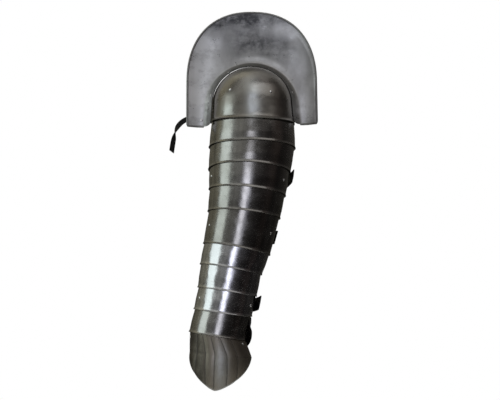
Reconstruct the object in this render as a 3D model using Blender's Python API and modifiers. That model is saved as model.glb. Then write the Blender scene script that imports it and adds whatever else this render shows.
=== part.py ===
import math

import bmesh
import bpy
import numpy as np
from mathutils import Matrix, Vector

for existing in list(bpy.data.objects):
    bpy.data.objects.remove(existing, do_unlink=True)

# Frame: +Z up along the upper arm, -Y out of the arm's outer side, +X towards the back of the arm.
# The origin is the inside crown of the shoulder cap, where the guard bears on the shoulder.

# Sheet steel and the clearances between pieces
PLATE = 0.0012
GAP = 0.0003
OVERLAP = 0.014
LIP_HEIGHT = 0.005
LIP_FLARE = 0.0015

# Arm lames, as wide as the dome of the cap asks
DOME_RADIUS = 0.0784
ARM_HALF_WIDTH = 1.0115 * DOME_RADIUS
PITCH = 0.042
WRAP = math.radians(108)
LAME_COLUMNS = 18

# Shoulder cap
CAP_BACK = 0.008
CAP_LIP_FLARE = 0.0035
CAP_LIP_END = math.radians(80)
CAP_LIP_FADE = math.radians(18)
CAP_LATITUDES = 7

# Shield plate with its collar
SHIELD_HALF_WIDTH = 0.1243
SHIELD_RISE = 0.1416
SHIELD_SHOULDER = 0.049
SHIELD_DISH = 0.010
SHIELD_CURVE = 2.3
SHIELD_DROP = 0.0335
SHIELD_LEG = 0.22
SHIELD_LEAN = math.radians(-0.4)
COLLAR_RADIUS = 0.98 * DOME_RADIUS
COLLAR_DEPTH = 0.026
COLLAR_FLARE = 0.0152
COLLAR_LEG = 0.14
COLLAR_DROP = 0.0011
COLLAR_SHIFT = -0.001
LEG_SPLAY = 0.0025
FOOT_SLANT = 0.0017
RIM_RADIUS = 0.0021
ARCH_STEPS = 24

# Hand plate
HAND_LENGTH = 0.0985
HAND_CORNER = 0.034
HAND_HALF_WIDTH = 0.729 * ARM_HALF_WIDTH
HAND_FULLNESS = 1.5
HAND_WRAP = math.radians(92)
HAND_SHIFT = 0.006
HAND_TURN = math.radians(3)
HAND_CURL = 0.30
FLUTE = 0.0011

# Leather
LEATHER = 0.0022
STRAP_WIDTH = 0.026
INNER_LEATHER_WIDTH = 0.024
STRAP_FLATNESS = 0.80
STRAP_END = 0.009
STRAP_PLACE = 0.47
HAND_STRAP_PLACE = 0.24
CHAPE_RETURN = 0.024

# Strap buckles
BUCKLE_WIRE = 0.0015
BUCKLE_LENGTH = 0.020
BUCKLE_ANGLE = math.radians(138)
BUCKLE_CORNER = 0.0025
PRONG_WIRE = 0.0010

# Rivets and their holes
ROUND_STEPS = 8
RIVET_HEAD = 0.0026
RIVET_RISE = 0.0013
RIVET_SHANK = 0.0012
RIVET_TAIL = 0.0021

# Shoulder tie
TIE_WIDTH = 0.0105
TIE_LENGTH = 0.118
TIE_TWIST = math.radians(50)
TIE_TURN = -0.955
TIE_SHARE = 0.12

# Each material: its colour, its roughness and whether it is metal
STEEL = ((0.30, 0.29, 0.28), 0.22, 1.0)
SATIN = ((0.36, 0.34, 0.31), 0.36, 1.0)
BRIGHT = ((0.72, 0.71, 0.68), 0.20, 1.0)
BLACK = ((0.012, 0.011, 0.011), 0.55, 0.0)

# One row for each lower edge down the arm: its drop from the edge above as a share of PITCH, the
# place of its centre and its half width as shares of ARM_HALF_WIDTH, its depth as a share of that
# half width, its tilt in degrees with the -X end higher, and its sag in front as a share of PITCH.
EDGE_COLUMNS = ("piece", "drop", "centre", "width", "depth", "tilt", "sag")
EDGES = (
    ("shoulder_cap", 0.764, 0.010, 1.000, 0.985, 1.2, 0.17),
    ("arm_lame_1", 1.138, -0.008, 1.018, 0.950, 0.8, 0.02),
    ("arm_lame_2", 1.088, -0.073, 0.963, 0.985, 2.5, -0.10),
    ("arm_lame_3", 0.979, -0.127, 0.898, 1.010, 5.2, 0.00),
    ("arm_lame_4", 1.019, -0.205, 0.843, 1.005, 5.8, 0.00),
    ("arm_lame_5", 1.550, -0.378, 0.780, 1.000, 10.2, 0.02),
    ("arm_lame_6", 0.905, -0.512, 0.717, 1.020, 10.0, 0.02),
    ("arm_lame_7", 0.988, -0.598, 0.679, 1.025, 8.9, 0.03),
    ("arm_lame_8", 0.917, -0.697, 0.662, 1.015, 7.6, 0.06),
    ("arm_lame_9", 1.005, -0.817, 0.648, 1.010, 8.4, 0.03),
)

# One row for each closing strap: the angles of its two rivets round from the front, how far the tail
# runs past the buckle, how far its end stands off and how far it climbs, as shares of STRAP_WIDTH.
STRAP_COLUMNS = ("piece", "left", "right", "tail", "lift", "rise")
STRAPS = (
    ("arm_lame_3", 67, 62, 1.66, 0.46, 0.72),
    ("arm_lame_5", 62, 61, 1.05, 0.30, 0.00),
    ("arm_lame_8", 59, 63, 1.60, 0.45, 0.28),
    ("hand_plate", 72, 60, 1.95, 0.02, 1.37),
)

# The collar's section from its lip to the foot of its fillet: out as a share of COLLAR_FLARE, and
# back as a share of COLLAR_DEPTH.
COLLAR = ((0.0, -1.0), (0.21, -0.58), (0.40, -0.27), (0.62, -0.06), (1.0, 0.058))

# One row for each crease of the hand plate: its angle round the wrist and round the lower edge.
CREASES = ((-44, -50), (-30, -22), (-12, -3), (7, 24), (28, 44))

# Rivets of the collar: the angle round its arch, from the +X side.
COLLAR_RIVETS = (("right", 20), ("upper_left", 123), ("left", 163))

# Rivets of the cap, one for each inner leather: the angle round from the front, then down the dome.
CAP_RIVETS = (("left", -33, 77), ("right", 26, 81))


def make_material(name, colour, roughness, metallic):
    material = bpy.data.materials.new(name)
    material.use_nodes = True
    shader = material.node_tree.nodes["Principled BSDF"]
    shader.inputs["Base Color"].default_value = (*colour, 1)
    shader.inputs["Roughness"].default_value = roughness
    shader.inputs["Metallic"].default_value = metallic
    return material


def add_object(name, mesh, collection, material=None):
    thing = bpy.data.objects.new(name, mesh)
    collection.objects.link(thing)
    if material:
        mesh.materials.append(material)
    return thing


def smooth(mesh):
    mesh.shade_smooth()
    mesh.set_sharp_from_angle(angle=math.radians(35))


def sheet(name, across, down, place, thickness, material, offset=-1.0, seam=False):
    """A grid laid over the surface place(column, row), thickened to a shell."""
    form = bmesh.new()
    bmesh.ops.create_grid(form, x_segments=across, y_segments=down, size=1)
    for vertex in form.verts:
        column = round((vertex.co.x + 1) / 2 * across)
        row = round((1 - vertex.co.y) / 2 * down)
        vertex.co = place(column, row)
    if seam:
        bmesh.ops.remove_doubles(form, verts=form.verts, dist=0.00001)
    mesh = bpy.data.meshes.new(name)
    form.to_mesh(mesh)
    form.free()
    smooth(mesh)
    thing = add_object(name, mesh, parts, make_material(name, *material))
    shell = thing.modifiers.new("wall", "SOLIDIFY")
    shell.thickness = thickness
    shell.offset = offset
    shell.use_even_offset = True
    return thing


def wire(name, points, radius, material, cyclic=False):
    """A round wire through the points, with flat ends."""
    curve = bpy.data.curves.new(name, "CURVE")
    curve.dimensions = "3D"
    curve.bevel_depth = radius
    curve.bevel_resolution = 1
    curve.use_fill_caps = True
    spline = curve.splines.new("POLY")
    spline.points.add(len(points) - 1)
    for target, point in zip(spline.points, points):
        target.co = (*point, 1)
    spline.use_cyclic_u = cyclic
    thing = bpy.data.objects.new(name, curve)
    parts.objects.link(thing)
    curve.materials.append(make_material(name, *material))
    return thing


def as_mesh(thing):
    """The curve object made a welded mesh object of the same name."""
    bpy.context.view_layer.update()
    mesh = bpy.data.meshes.new_from_object(thing.evaluated_get(bpy.context.evaluated_depsgraph_get()))
    form = bmesh.new()
    form.from_mesh(mesh)
    bmesh.ops.remove_doubles(form, verts=form.verts, dist=0.00001)
    bmesh.ops.recalc_face_normals(form, faces=form.faces)
    form.to_mesh(mesh)
    form.free()
    name = thing.name
    matrix = thing.matrix_world.copy()
    curve = thing.data
    bpy.data.objects.remove(thing, do_unlink=True)
    bpy.data.curves.remove(curve)
    mesh.name = name
    solid = bpy.data.objects.new(name, mesh)
    parts.objects.link(solid)
    solid.matrix_world = matrix
    return solid


def cut(thing, cutter):
    opening = thing.modifiers.new("opening", "BOOLEAN")
    opening.operation = "DIFFERENCE"
    opening.solver = "EXACT"
    opening.object = cutter


def add_cutter(name, form):
    mesh = bpy.data.meshes.new(name)
    form.to_mesh(mesh)
    form.free()
    cutter = add_object(name, mesh, cutters)
    cutter.hide_render = True
    cutter.display_type = "WIRE"
    return cutter


def box_cutter(name, matrix, size):
    form = bmesh.new()
    bmesh.ops.create_cube(form, size=1, matrix=matrix @ Matrix.Diagonal((*size, 1)))
    return add_cutter(name, form)


def drill(name, matrix, radius, length):
    form = bmesh.new()
    bmesh.ops.create_cone(
        form, cap_ends=True, segments=ROUND_STEPS, radius1=radius, radius2=radius, depth=length, matrix=matrix
    )
    return add_cutter(name, form)


def rivet(name, place, direction, grip, layers):
    """A rivet whose head rests at the place, through layers whose total depth is the grip."""
    facing = Vector(direction).to_track_quat("Z", "X").to_matrix().to_4x4()
    matrix = Matrix.Translation(place) @ facing
    profile = (
        (0, RIVET_RISE + GAP),
        (0.62 * RIVET_HEAD, 0.8 * RIVET_RISE + GAP),
        (RIVET_HEAD, GAP),
        (RIVET_SHANK, GAP),
        (RIVET_SHANK, -grip - GAP),
        (RIVET_TAIL, -grip - GAP),
        (0, -grip - GAP - 0.6 * RIVET_RISE),
    )
    form = bmesh.new()
    corners = [form.verts.new((radius, 0, height)) for radius, height in profile]
    for first, second in zip(corners, corners[1:]):
        form.edges.new((first, second))
    mesh = bpy.data.meshes.new(name)
    form.to_mesh(mesh)
    form.free()
    thing = add_object(name, mesh, parts, make_material(name, *BRIGHT))
    thing.matrix_world = matrix
    turning = thing.modifiers.new("turning", "SCREW")
    turning.steps = turning.render_steps = ROUND_STEPS
    turning.axis = "Z"
    turning.use_merge_vertices = True
    turning.merge_threshold = 0.00001
    turning.use_smooth_shade = True
    middle = matrix @ Matrix.Translation((0, 0, -grip / 2))
    hole = drill(name + "_hole", middle, RIVET_SHANK + GAP, grip + 2 * RIVET_HEAD)
    for layer in layers:
        cut(layer, hole)


def arm_rings():
    """The cap's equator and every lower edge below it, each a tilted ellipse, then one over the hand."""
    height = dome_centre_height()
    rings = [{"centre": 0.0, "height": height, "tilt": 0.0, "width": DOME_RADIUS - PLATE - GAP, "sag": 0.0}]
    rings[0]["depth"] = rings[0]["width"]
    for row in EDGES:
        edge = dict(zip(EDGE_COLUMNS, row))
        height -= edge["drop"] * PITCH
        width = edge["width"] * ARM_HALF_WIDTH
        rings.append(
            {
                "centre": edge["centre"] * ARM_HALF_WIDTH,
                "height": height,
                "tilt": math.radians(edge["tilt"]),
                "width": width,
                "depth": width * edge["depth"],
                "sag": edge["sag"] * PITCH,
            }
        )
    last = rings[-1]
    rings.append(
        {
            "centre": last["centre"] + HAND_SHIFT,
            "height": last["height"] - HAND_CORNER,
            "tilt": last["tilt"] - HAND_TURN,
            "width": HAND_HALF_WIDTH - PLATE,
            "depth": last["depth"],
            "sag": 0.0,
        }
    )
    return rings


def dome_centre_height():
    return PLATE - DOME_RADIUS


def ring_point(ring, angle, offset):
    """The point of a ring at an angle round from the front, moved out in the ring's plane."""
    along = (ring["width"] + offset) * math.sin(angle)
    lean = Vector((math.cos(ring["tilt"]), 0, -math.sin(ring["tilt"])))
    back = -(ring["depth"] + offset) * math.cos(angle)
    start = Vector((ring["centre"], 0, ring["height"] - ring["sag"] * math.cos(angle)))
    return start + along * lean + Vector((0, back, 0))


def skin(section, share, angle, offset):
    """The point between ring section and the ring below, at a share of the way down."""
    upper = ring_point(RINGS[section], angle, offset)
    lower = ring_point(RINGS[section + 1], angle, offset)
    return upper.lerp(lower, share)


def skin_normal(section, share, angle, offset):
    step = 0.001
    sideways = skin(section, share, angle + step, offset) - skin(section, share, angle - step, offset)
    down = skin(section, share + step, angle, offset) - skin(section, share - step, angle, offset)
    return down.cross(sideways).normalized()


def between(section, share):
    """A ring at a share of the way from ring section to the next."""
    upper, lower = RINGS[section], RINGS[section + 1]
    return {key: upper[key] + (lower[key] - upper[key]) * share for key in upper}


def drop(section):
    return RINGS[section]["height"] - RINGS[section + 1]["height"]


def hollow(section):
    """How far the flat facets of a lame stand inside its true curve."""
    return RINGS[section]["width"] * (1 - math.cos(WRAP / LAME_COLUMNS))


def lame(name, section):
    """A lame between two rings, tucked up under the plate above, its lower edge turned out."""
    tuck = OVERLAP / drop(section - 1)
    rows = (
        (section - 1, 1 - tuck, 0.0),
        (section, 0.0, 0.0),
        (section, 1 - (OVERLAP + LIP_HEIGHT) / drop(section), PLATE + GAP),
        (section, 1 - LIP_HEIGHT / drop(section), PLATE + GAP),
        (section, 1.0, PLATE + GAP + LIP_FLARE),
    )

    def place(column, row):
        angle = WRAP * (2 * column / LAME_COLUMNS - 1)
        part, share, offset = rows[row]
        return skin(part, share, angle, offset)

    return sheet(name, LAME_COLUMNS, len(rows) - 1, place, PLATE, STEEL)


def shoulder_cap():
    """A dome that runs down into a half ring, cut off flat behind, its lower edge turned out."""
    step = 2 * WRAP / LAME_COLUMNS
    half_turn = math.ceil(math.pi / step)
    columns = 2 * half_turn
    below = (
        (1 - (OVERLAP + LIP_HEIGHT) / drop(0), PLATE + GAP),
        (1 - LIP_HEIGHT / drop(0), PLATE + GAP),
        (1.0, PLATE + GAP),
    )
    centre = Vector((0, 0, dome_centre_height()))

    def place(column, row):
        angle = max(-math.pi, min(math.pi, step * (column - half_turn)))
        if row <= CAP_LATITUDES:
            slope = math.pi / 2 * row / CAP_LATITUDES
            around = Vector((math.sin(angle) * math.sin(slope), -math.cos(angle) * math.sin(slope), 0))
            return centre + DOME_RADIUS * (around + Vector((0, 0, math.cos(slope))))
        share, offset = below[row - CAP_LATITUDES - 1]
        if share == 1.0:
            fade = min(1.0, max(0.0, (CAP_LIP_END - abs(angle)) / CAP_LIP_FADE))
            offset += CAP_LIP_FLARE * fade
        return skin(0, share, angle, offset)

    cap = sheet("shoulder_cap", columns, CAP_LATITUDES + len(below), place, PLATE, STEEL, seam=True)
    size = 5 * DOME_RADIUS
    behind = Matrix.Translation((0, CAP_BACK + size / 2, -size / 4))
    cut(cap, box_cutter("cap_back_cut", behind, (size, size, size)))
    return cap


def collar_arch(radius, depth, turn):
    """A point of an arch round the collar, turn going from -1 at the -X foot to 1 at the +X foot."""
    if abs(turn) > 1 - COLLAR_LEG:
        down = (abs(turn) - 1 + COLLAR_LEG) / COLLAR_LEG
        side = math.copysign(1, turn)
        height = COLLAR_CENTRE.z - (SHIELD_DROP - side * FOOT_SLANT) * down
        return Vector((COLLAR_CENTRE.x + side * (radius + LEG_SPLAY * down), depth, height))
    angle = math.pi / 2 * turn / (1 - COLLAR_LEG)
    return COLLAR_CENTRE + Vector((radius * math.sin(angle), depth, radius * math.cos(angle)))


def shield_edge(turn):
    """A point of the shield's outline: a superellipse over straight sides."""
    base = COLLAR_CENTRE.z + SHIELD_SHOULDER
    side = math.copysign(1, turn)
    if abs(turn) > 1 - SHIELD_LEG:
        down = (abs(turn) - 1 + SHIELD_LEG) / SHIELD_LEG
        height = base - (SHIELD_SHOULDER + SHIELD_DROP - side * FOOT_SLANT) * down
        return Vector((COLLAR_CENTRE.x + side * SHIELD_HALF_WIDTH, 0, height))
    angle = math.pi / 2 * abs(turn) / (1 - SHIELD_LEG)
    power = 2 / SHIELD_CURVE
    across = SHIELD_HALF_WIDTH * math.sin(angle) ** power
    up = SHIELD_RISE * math.cos(angle) ** power
    return Vector((COLLAR_CENTRE.x + side * across, 0, base + up))


def seated(point):
    """The shield leans a little in its own plane, its -X foot lower."""
    return COLLAR_CENTRE + Matrix.Rotation(SHIELD_LEAN, 3, "Y") @ (point - COLLAR_CENTRE)


def shield_point(turn, share):
    """Between the foot of the collar's fillet and the rim, dished towards the front at the rim."""
    rise = COLLAR[-1][1] * COLLAR_DEPTH
    inner = collar_arch(COLLAR_RADIUS + COLLAR_FLARE, rise, turn)
    point = inner.lerp(shield_edge(turn), share)
    point.y = rise - SHIELD_DISH * share**2
    return seated(point)


def shoulder_flange():
    """The shield plate: arches from the collar's lip out to the rim, each with legs, and a rolled rim."""
    shares = (0.3, 0.65, 1.0)

    def place(column, row):
        turn = 2 * column / ARCH_STEPS - 1
        if row < len(COLLAR):
            out, forward = COLLAR[row]
            return seated(collar_arch(COLLAR_RADIUS + COLLAR_FLARE * out, COLLAR_DEPTH * forward, turn))
        return shield_point(turn, shares[row - len(COLLAR)])

    rows = len(COLLAR) + len(shares) - 1
    flange = sheet("shoulder_flange", ARCH_STEPS, rows, place, PLATE, STEEL, offset=0.0)
    rim = [shield_point(-1, share) for share in (0.0, 0.35, 0.7, 0.96)]
    turns = [2 * step / ARCH_STEPS - 1 for step in range(ARCH_STEPS + 1)]
    turns[0] += 0.02
    turns[-1] -= 0.02
    rim += [shield_point(turn, 1.0) for turn in turns]
    rim += [shield_point(1, share) for share in (0.96, 0.7, 0.35, 0.0)]
    roll = as_mesh(wire("shoulder_flange_roll", rim, RIM_RADIUS, STEEL))
    parts.objects.unlink(roll)
    cutters.objects.link(roll)
    roll.hide_render = True
    roll.display_type = "WIRE"
    joined = flange.modifiers.new("rolled_rim", "BOOLEAN")
    joined.operation = "UNION"
    joined.solver = "EXACT"
    joined.object = roll
    return flange


def hand_reach(angle):
    """How far down the hand plate runs from the last lame at an angle round its lower edge."""
    corner = drop(len(EDGES))
    return corner + (HAND_LENGTH - corner) * (1 - (abs(angle) / HAND_WRAP) ** HAND_FULLNESS)


def hand_offset(share, on_crease):
    """How far the hand plate's panels stand out from the rings at a share of the way down."""
    inset = (hollow(len(EDGES)) + GAP / 2) * (1 - share)
    return (0.0 if on_crease else FLUTE * math.sin(math.pi * min(1.0, 0.15 + share * 0.6))) - inset


def hand_plate():
    """A plate from under the last lame to a point over the fingers, its creases fanning out."""
    section = len(RINGS) - 2
    tuck = OVERLAP / drop(section - 1)
    angles = [(-92, -92), (-81, -81), (-69, -71), (-57, -61)]
    for crease, following in zip(CREASES, CREASES[1:]):
        angles.append(crease)
        angles.append(((crease[0] + following[0]) / 2, (crease[1] + following[1]) / 2))
    angles += [CREASES[-1], (40, 52), (54, 62), (67, 72), (80, 82), (92, 92)]
    creased = {4 + 2 * index for index in range(len(CREASES))}
    shares = (0.0, 0.14, 0.3, 0.5, 0.7, 0.87, 1.0)

    def place(column, row):
        above, below = (math.radians(value) for value in angles[column])
        above = max(-HAND_WRAP, min(HAND_WRAP, above))
        below = max(-HAND_WRAP, min(HAND_WRAP, below))
        if row == 0:
            return skin(section - 1, 1 - tuck, above, -hollow(section) - GAP / 2)
        share = shares[row - 1]
        angle = above + (below - above) * share
        down = share * hand_reach(below) / drop(section)
        flare = skin(section, min(1.0, down), angle, hand_offset(share, column in creased))
        beyond = max(0.0, down - 1.0) * drop(section)
        inward = HAND_CURL * beyond * beyond / HAND_LENGTH
        outward = Vector((math.sin(angle), -math.cos(angle), 0))
        tilt = RINGS[section]["tilt"]
        return flare + Vector((-math.sin(tilt), 0, -math.cos(tilt))) * beyond - outward * inward

    return sheet("hand_plate", len(angles) - 1, len(shares), place, PLATE, SATIN)


def inner_leather(name, turn, rows):
    """A leather strip down the inside of the plates, from the cap to the hand plate."""
    half = INNER_LEATHER_WIDTH / 2
    inside = DOME_RADIUS - PLATE - GAP - 2 * hollow(0)

    def place(column, row):
        section, share = rows[row]
        under_hand = row >= len(rows) - 2
        depth = PLATE + GAP + hollow(section) * (2 if under_hand else 1)
        angle = math.radians(turn) + (column - 1) * half / RINGS[section]["depth"]
        if share < 0:
            free = skin(section, share, angle, 0.0)
            above = free.z - dome_centre_height()
            depth = max(depth, math.hypot(free.x, free.y) - math.sqrt(inside**2 - above**2))
        return skin(section, share, angle, -depth)

    return sheet(name, 2, len(rows) - 1, place, LEATHER, BLACK)


def strap_line(section, share):
    """A strap's middle line, inside the lame and then round the back of the arm, flattened there.

    Its points are given by their station along it, how far they stand off it and how far across."""
    ring = between(section, share)
    upper, lower = RINGS[section], RINGS[section + 1]
    taper = (upper["width"] - lower["width"]) / drop(section)
    up = Vector(((upper["centre"] - lower["centre"]) / drop(section), 0, 1))
    depth = PLATE + GAP + hollow(section) + LEATHER / 2
    if section == len(EDGES):
        depth += hollow(section) + 2 * GAP
    angles = np.linspace(0.0, math.tau, 1441)
    back = np.clip((angles - WRAP) / (math.pi - WRAP), 0, None) * np.clip(
        (math.tau - WRAP - angles) / (math.pi - WRAP), 0, None
    )
    ease = np.clip(back, 0, 1)
    ease = ease * ease * (3 - 2 * ease)
    flat = 1 - (1 - STRAP_FLATNESS) * ease
    across = (ring["width"] - depth) * np.sin(angles)
    away = -(ring["depth"] - depth) * np.cos(angles) * flat
    lengths = np.concatenate(([0.0], np.cumsum(np.hypot(np.diff(across), np.diff(away)))))
    heel = np.interp(BUCKLE_ANGLE, angles, lengths)
    stations = lengths - heel
    slope_across = np.gradient(across, stations)
    slope_away = np.gradient(away, stations)

    def station(angle):
        return float(np.interp(angle, angles, stations))

    def place(at, stand_off, wide):
        run_x = float(np.interp(at, stations, slope_across))
        run_y = float(np.interp(at, stations, slope_away))
        out = (stand_off + taper * wide) / math.hypot(run_x, run_y)
        x = float(np.interp(at, stations, across)) + out * run_y
        y = float(np.interp(at, stations, away)) - out * run_x
        tilt = ring["tilt"]
        start = Vector((ring["centre"], 0, ring["height"]))
        lean = Vector((math.cos(tilt), 0, -math.sin(tilt)))
        return start + x * lean + Vector((0, y, 0)) + wide * up

    return station, place


def ribbon(name, path, place, width, rising=Vector((0, 0, 1))):
    """A leather strip along the path's stations and stand offs, the third value raising it."""

    def corner(column, row):
        at, stand_off, climb = path[column]
        middle = place(at, stand_off, 0.0)
        across = place(at, stand_off, 1.0) - middle
        free = min(1.0, 4 * climb / width) if row == 0 else 0.0
        return middle + across.lerp(rising, free) * width * (0.5 - row) + rising * climb

    return sheet(name, len(path) - 1, 1, corner, LEATHER, BLACK, offset=0.0)


def run(first, last, stand_off, steps):
    """Points along a strap's line at one stand off."""
    return [(first + (last - first) * step / steps, stand_off, 0.0) for step in range(steps + 1)]


def arc_points(middle, radius, first, last, steps):
    """Points round a bar: station and stand off at angles from first to last, in degrees."""
    points = []
    for step in range(steps + 1):
        angle = math.radians(first + (last - first) * step / steps)
        points.append((middle[0] + radius * math.cos(angle), middle[1] + radius * math.sin(angle), 0.0))
    return points


def closing_strap(row, section, share):
    """A buckled strap: chape and buckle on the +X side, billet from the -X side, and its tail."""
    settings = dict(zip(STRAP_COLUMNS, row))
    tag = settings["piece"].replace("arm_", "").replace("_plate", "")
    station, place = strap_line(section, share)
    loop = BUCKLE_WIRE + 2 * GAP + LEATHER / 2
    layer = LEATHER + GAP
    bar = -loop
    toe = BUCKLE_WIRE + GAP + LEATHER / 2
    start = station(math.radians(settings["right"])) - STRAP_END
    finish = station(math.tau - math.radians(settings["left"])) + STRAP_END

    chape = [(start, 0.0, 0.0)] + run(start + 2 * STRAP_END, 0.0, 0.0, 8)
    chape += arc_points((0, bar), loop, 60, -90, 5)
    chape += [(-CHAPE_RETURN / 6, -2 * loop, 0.0), (-CHAPE_RETURN * 0.42, -layer, 0.0)]
    chape += run(-CHAPE_RETURN * 0.6, -CHAPE_RETURN, -layer, 2)
    strap_chape = ribbon(f"{tag}_strap_chape", chape, place, STRAP_WIDTH)
    centre = place(0.0, bar, 0.0)
    outward = (place(0.0, 0.001, 0.0) - centre).normalized()
    sideways = (place(0.0, 0.0, 1.0) - place(0.0, 0.0, 0.0)).normalized()
    along = sideways.cross(outward).normalized()
    local = Matrix((along, sideways, outward)).transposed().to_4x4()
    slot = box_cutter(
        f"{tag}_chape_slot",
        Matrix.Translation(centre) @ local,
        (2 * loop + LEATHER + 4 * PRONG_WIRE, 2 * PRONG_WIRE + 6 * GAP, 5 * loop),
    )
    cut(strap_chape, slot)

    half = STRAP_WIDTH / 2 + BUCKLE_WIRE + 6 * GAP
    frame = []
    for at, wide, turn in (
        (0.0, half, 90),
        (0.0, -half, 180),
        (BUCKLE_LENGTH, -half, 270),
        (BUCKLE_LENGTH, half, 0),
    ):
        middle_at = at + (BUCKLE_CORNER if at == 0.0 else -BUCKLE_CORNER)
        middle_wide = wide - math.copysign(BUCKLE_CORNER, wide)
        for step in range(3):
            angle = math.radians(turn + 45 * step)
            along_bar = middle_wide + BUCKLE_CORNER * math.sin(angle)
            x = middle_at + BUCKLE_CORNER * math.cos(angle)
            frame.append((x, bar + (toe - bar) * x / BUCKLE_LENGTH, along_bar))
    wire(f"{tag}_strap_buckle", [place(*point) for point in frame], BUCKLE_WIRE, BRIGHT, cyclic=True)

    ring_radius = BUCKLE_WIRE + GAP + PRONG_WIRE
    prong = arc_points((0, bar), ring_radius, 290, 90, 6)
    top = toe + BUCKLE_WIRE + GAP + PRONG_WIRE
    for share_along, share_up in ((0.175, 0.6), (0.375, 0.97), (1.05, 1.0)):
        prong.append((share_along * BUCKLE_LENGTH, share_up * top, 0.0))
    wire(f"{tag}_strap_prong", [place(*point) for point in prong], PRONG_WIRE, BRIGHT)

    length = settings["tail"] * STRAP_WIDTH
    climb_from = BUCKLE_LENGTH - 2 * BUCKLE_WIRE
    billet = [(finish, 0.0, 0.0)] + run(finish - 2 * STRAP_END, BUCKLE_LENGTH + 2 * BUCKLE_WIRE, 0.0, 10)
    for share_along in (0.0, 0.25, 0.5, 0.75, 1.0):
        ease = share_along * share_along * (3 - 2 * share_along)
        billet.append((climb_from * (1 - share_along), layer * ease, 0.0))
    for step in range(1, 7):
        reach = step / 6
        lift = layer + settings["lift"] * STRAP_WIDTH * reach**1.3
        climb = settings["rise"] * STRAP_WIDTH * reach**1.5
        billet.append((-length * reach, lift, climb))
    above = (RINGS[section - 1]["centre"] - RINGS[section]["centre"]) / drop(section - 1)
    rising = Vector((above, 0, 1))
    strap_billet = ribbon(f"{tag}_strap_billet", billet, place, STRAP_WIDTH, rising)
    hole_centre = place(loop, layer * 0.9, 0.0)
    hole = box_cutter(
        f"{tag}_billet_hole",
        Matrix.Translation(hole_centre) @ local,
        (3.4 * loop, 2 * PRONG_WIRE + 4 * GAP, 3 * loop),
    )
    cut(strap_billet, hole)
    return tag, strap_billet, strap_chape


def strap_rivets(row, tag, plate, section, share, offset, billet, chape):
    settings = dict(zip(STRAP_COLUMNS, row))
    for side, layer, turn in (("left", billet, -1), ("right", chape, 1)):
        angle = turn * math.radians(settings[side])
        point = skin(section, share, angle, offset)
        normal = skin_normal(section, share, angle, offset)
        grip = offset + PLATE + GAP + hollow(section) + LEATHER
        grip += STRAP_END**2 / (2 * RINGS[section + 1]["depth"]) + GAP / 2
        if section == len(EDGES):
            grip += hollow(section) + 2 * GAP
        rivet(f"{tag}_rivet_{side}", point, normal, grip, (plate, layer))


def shoulder_tie(start):
    """A leather tie behind the shield plate, out past its edge and down to a slant end."""
    route = (
        (-0.05, 0.00, 0.000),
        (0.08, 0.00, 0.015),
        (0.16, 0.00, 0.028),
        (0.240, 0.00, 0.026),
        (0.32, 0.00, -0.020),
        (0.385, -0.01, -0.095),
        (0.425, -0.02, -0.195),
        (0.450, -0.03, -0.310),
        (0.468, -0.04, -0.430),
        (0.482, -0.05, -0.547),
    )
    path = [start + Vector((-out, forward, up)) * TIE_LENGTH for out, forward, up in route]

    def corner(column, row):
        forward = path[min(column + 1, len(path) - 1)] - path[max(column - 1, 0)]
        forward.normalize()
        twist = TIE_TWIST * max(0.0, column / (len(path) - 1) - 0.4)
        flat = forward.cross(Vector((0, 1, 0))).normalized()
        wide = flat * math.cos(twist) + forward.cross(flat) * math.sin(twist)
        slant = forward * TIE_WIDTH * 0.45 if column == len(path) - 1 and row == 0 else Vector()
        return path[column] + wide * TIE_WIDTH * (0.5 - row) - slant

    return sheet("shoulder_tie", len(path) - 1, 1, corner, LEATHER, BLACK, offset=0.0)


def way_into(point, direction, centre, radius):
    """How far against the direction a ball of this radius round the centre is from the point."""
    reach = direction.dot(point - centre)
    return reach - math.sqrt(reach * reach - (point - centre).length_squared + radius * radius)


def cap_rivets(cap, leathers):
    centre = Vector((0, 0, dome_centre_height()))
    for side, turn, down in CAP_RIVETS:
        angle = math.radians(turn)
        slope = math.radians(down)
        out = Vector(
            (math.sin(angle) * math.sin(slope), -math.cos(angle) * math.sin(slope), math.cos(slope))
        )
        grip = DOME_RADIUS - RINGS[0]["width"] + PLATE + GAP + LEATHER + GAP
        rivet(f"cap_rivet_{side}", centre + DOME_RADIUS * out, out, grip, (cap, leathers[side]))


def collar_rivets(flange, cap):
    before, after = COLLAR[1], COLLAR[2]
    share = 0.85
    out = before[0] + (after[0] - before[0]) * share
    forward = before[1] + (after[1] - before[1]) * share
    slope = math.atan2(COLLAR_FLARE * (after[0] - before[0]), COLLAR_DEPTH * (after[1] - before[1]))
    centre = Vector((0, 0, dome_centre_height()))
    for side, degrees in COLLAR_RIVETS:
        angle = math.radians(degrees)
        around = Vector((math.cos(angle), 0, math.sin(angle)))
        middle = COLLAR_CENTRE + around * (COLLAR_RADIUS + COLLAR_FLARE * out)
        middle.y = COLLAR_DEPTH * forward
        normal = (around * math.cos(slope) + Vector((0, -math.sin(slope), 0))).normalized()
        place = seated(middle) + normal * PLATE / 2
        grip = way_into(place, normal, centre, DOME_RADIUS - PLATE) + 2 * (GAP + hollow(0))
        rivet(f"collar_rivet_{side}", place, normal, grip, (flange, cap))


def tie_and_rivet(flange):
    middle = shield_point(TIE_TURN, TIE_SHARE)
    behind = PLATE / 2 + GAP + LEATHER / 2
    tie = shoulder_tie(middle + Vector((0, behind, 0)))
    front = middle - Vector((0, PLATE / 2 + GAP, 0))
    rivet("tie_rivet", front, (0, -1, 0), PLATE + LEATHER + 2 * GAP, (flange, tie))


parts = bpy.data.collections.new("arm_guard")
cutters = bpy.data.collections.new("cutters")
bpy.context.scene.collection.children.link(parts)
bpy.context.scene.collection.children.link(cutters)

RINGS = arm_rings()
COLLAR_CENTRE = Vector((COLLAR_SHIFT, 0, dome_centre_height() - COLLAR_DROP))

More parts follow.
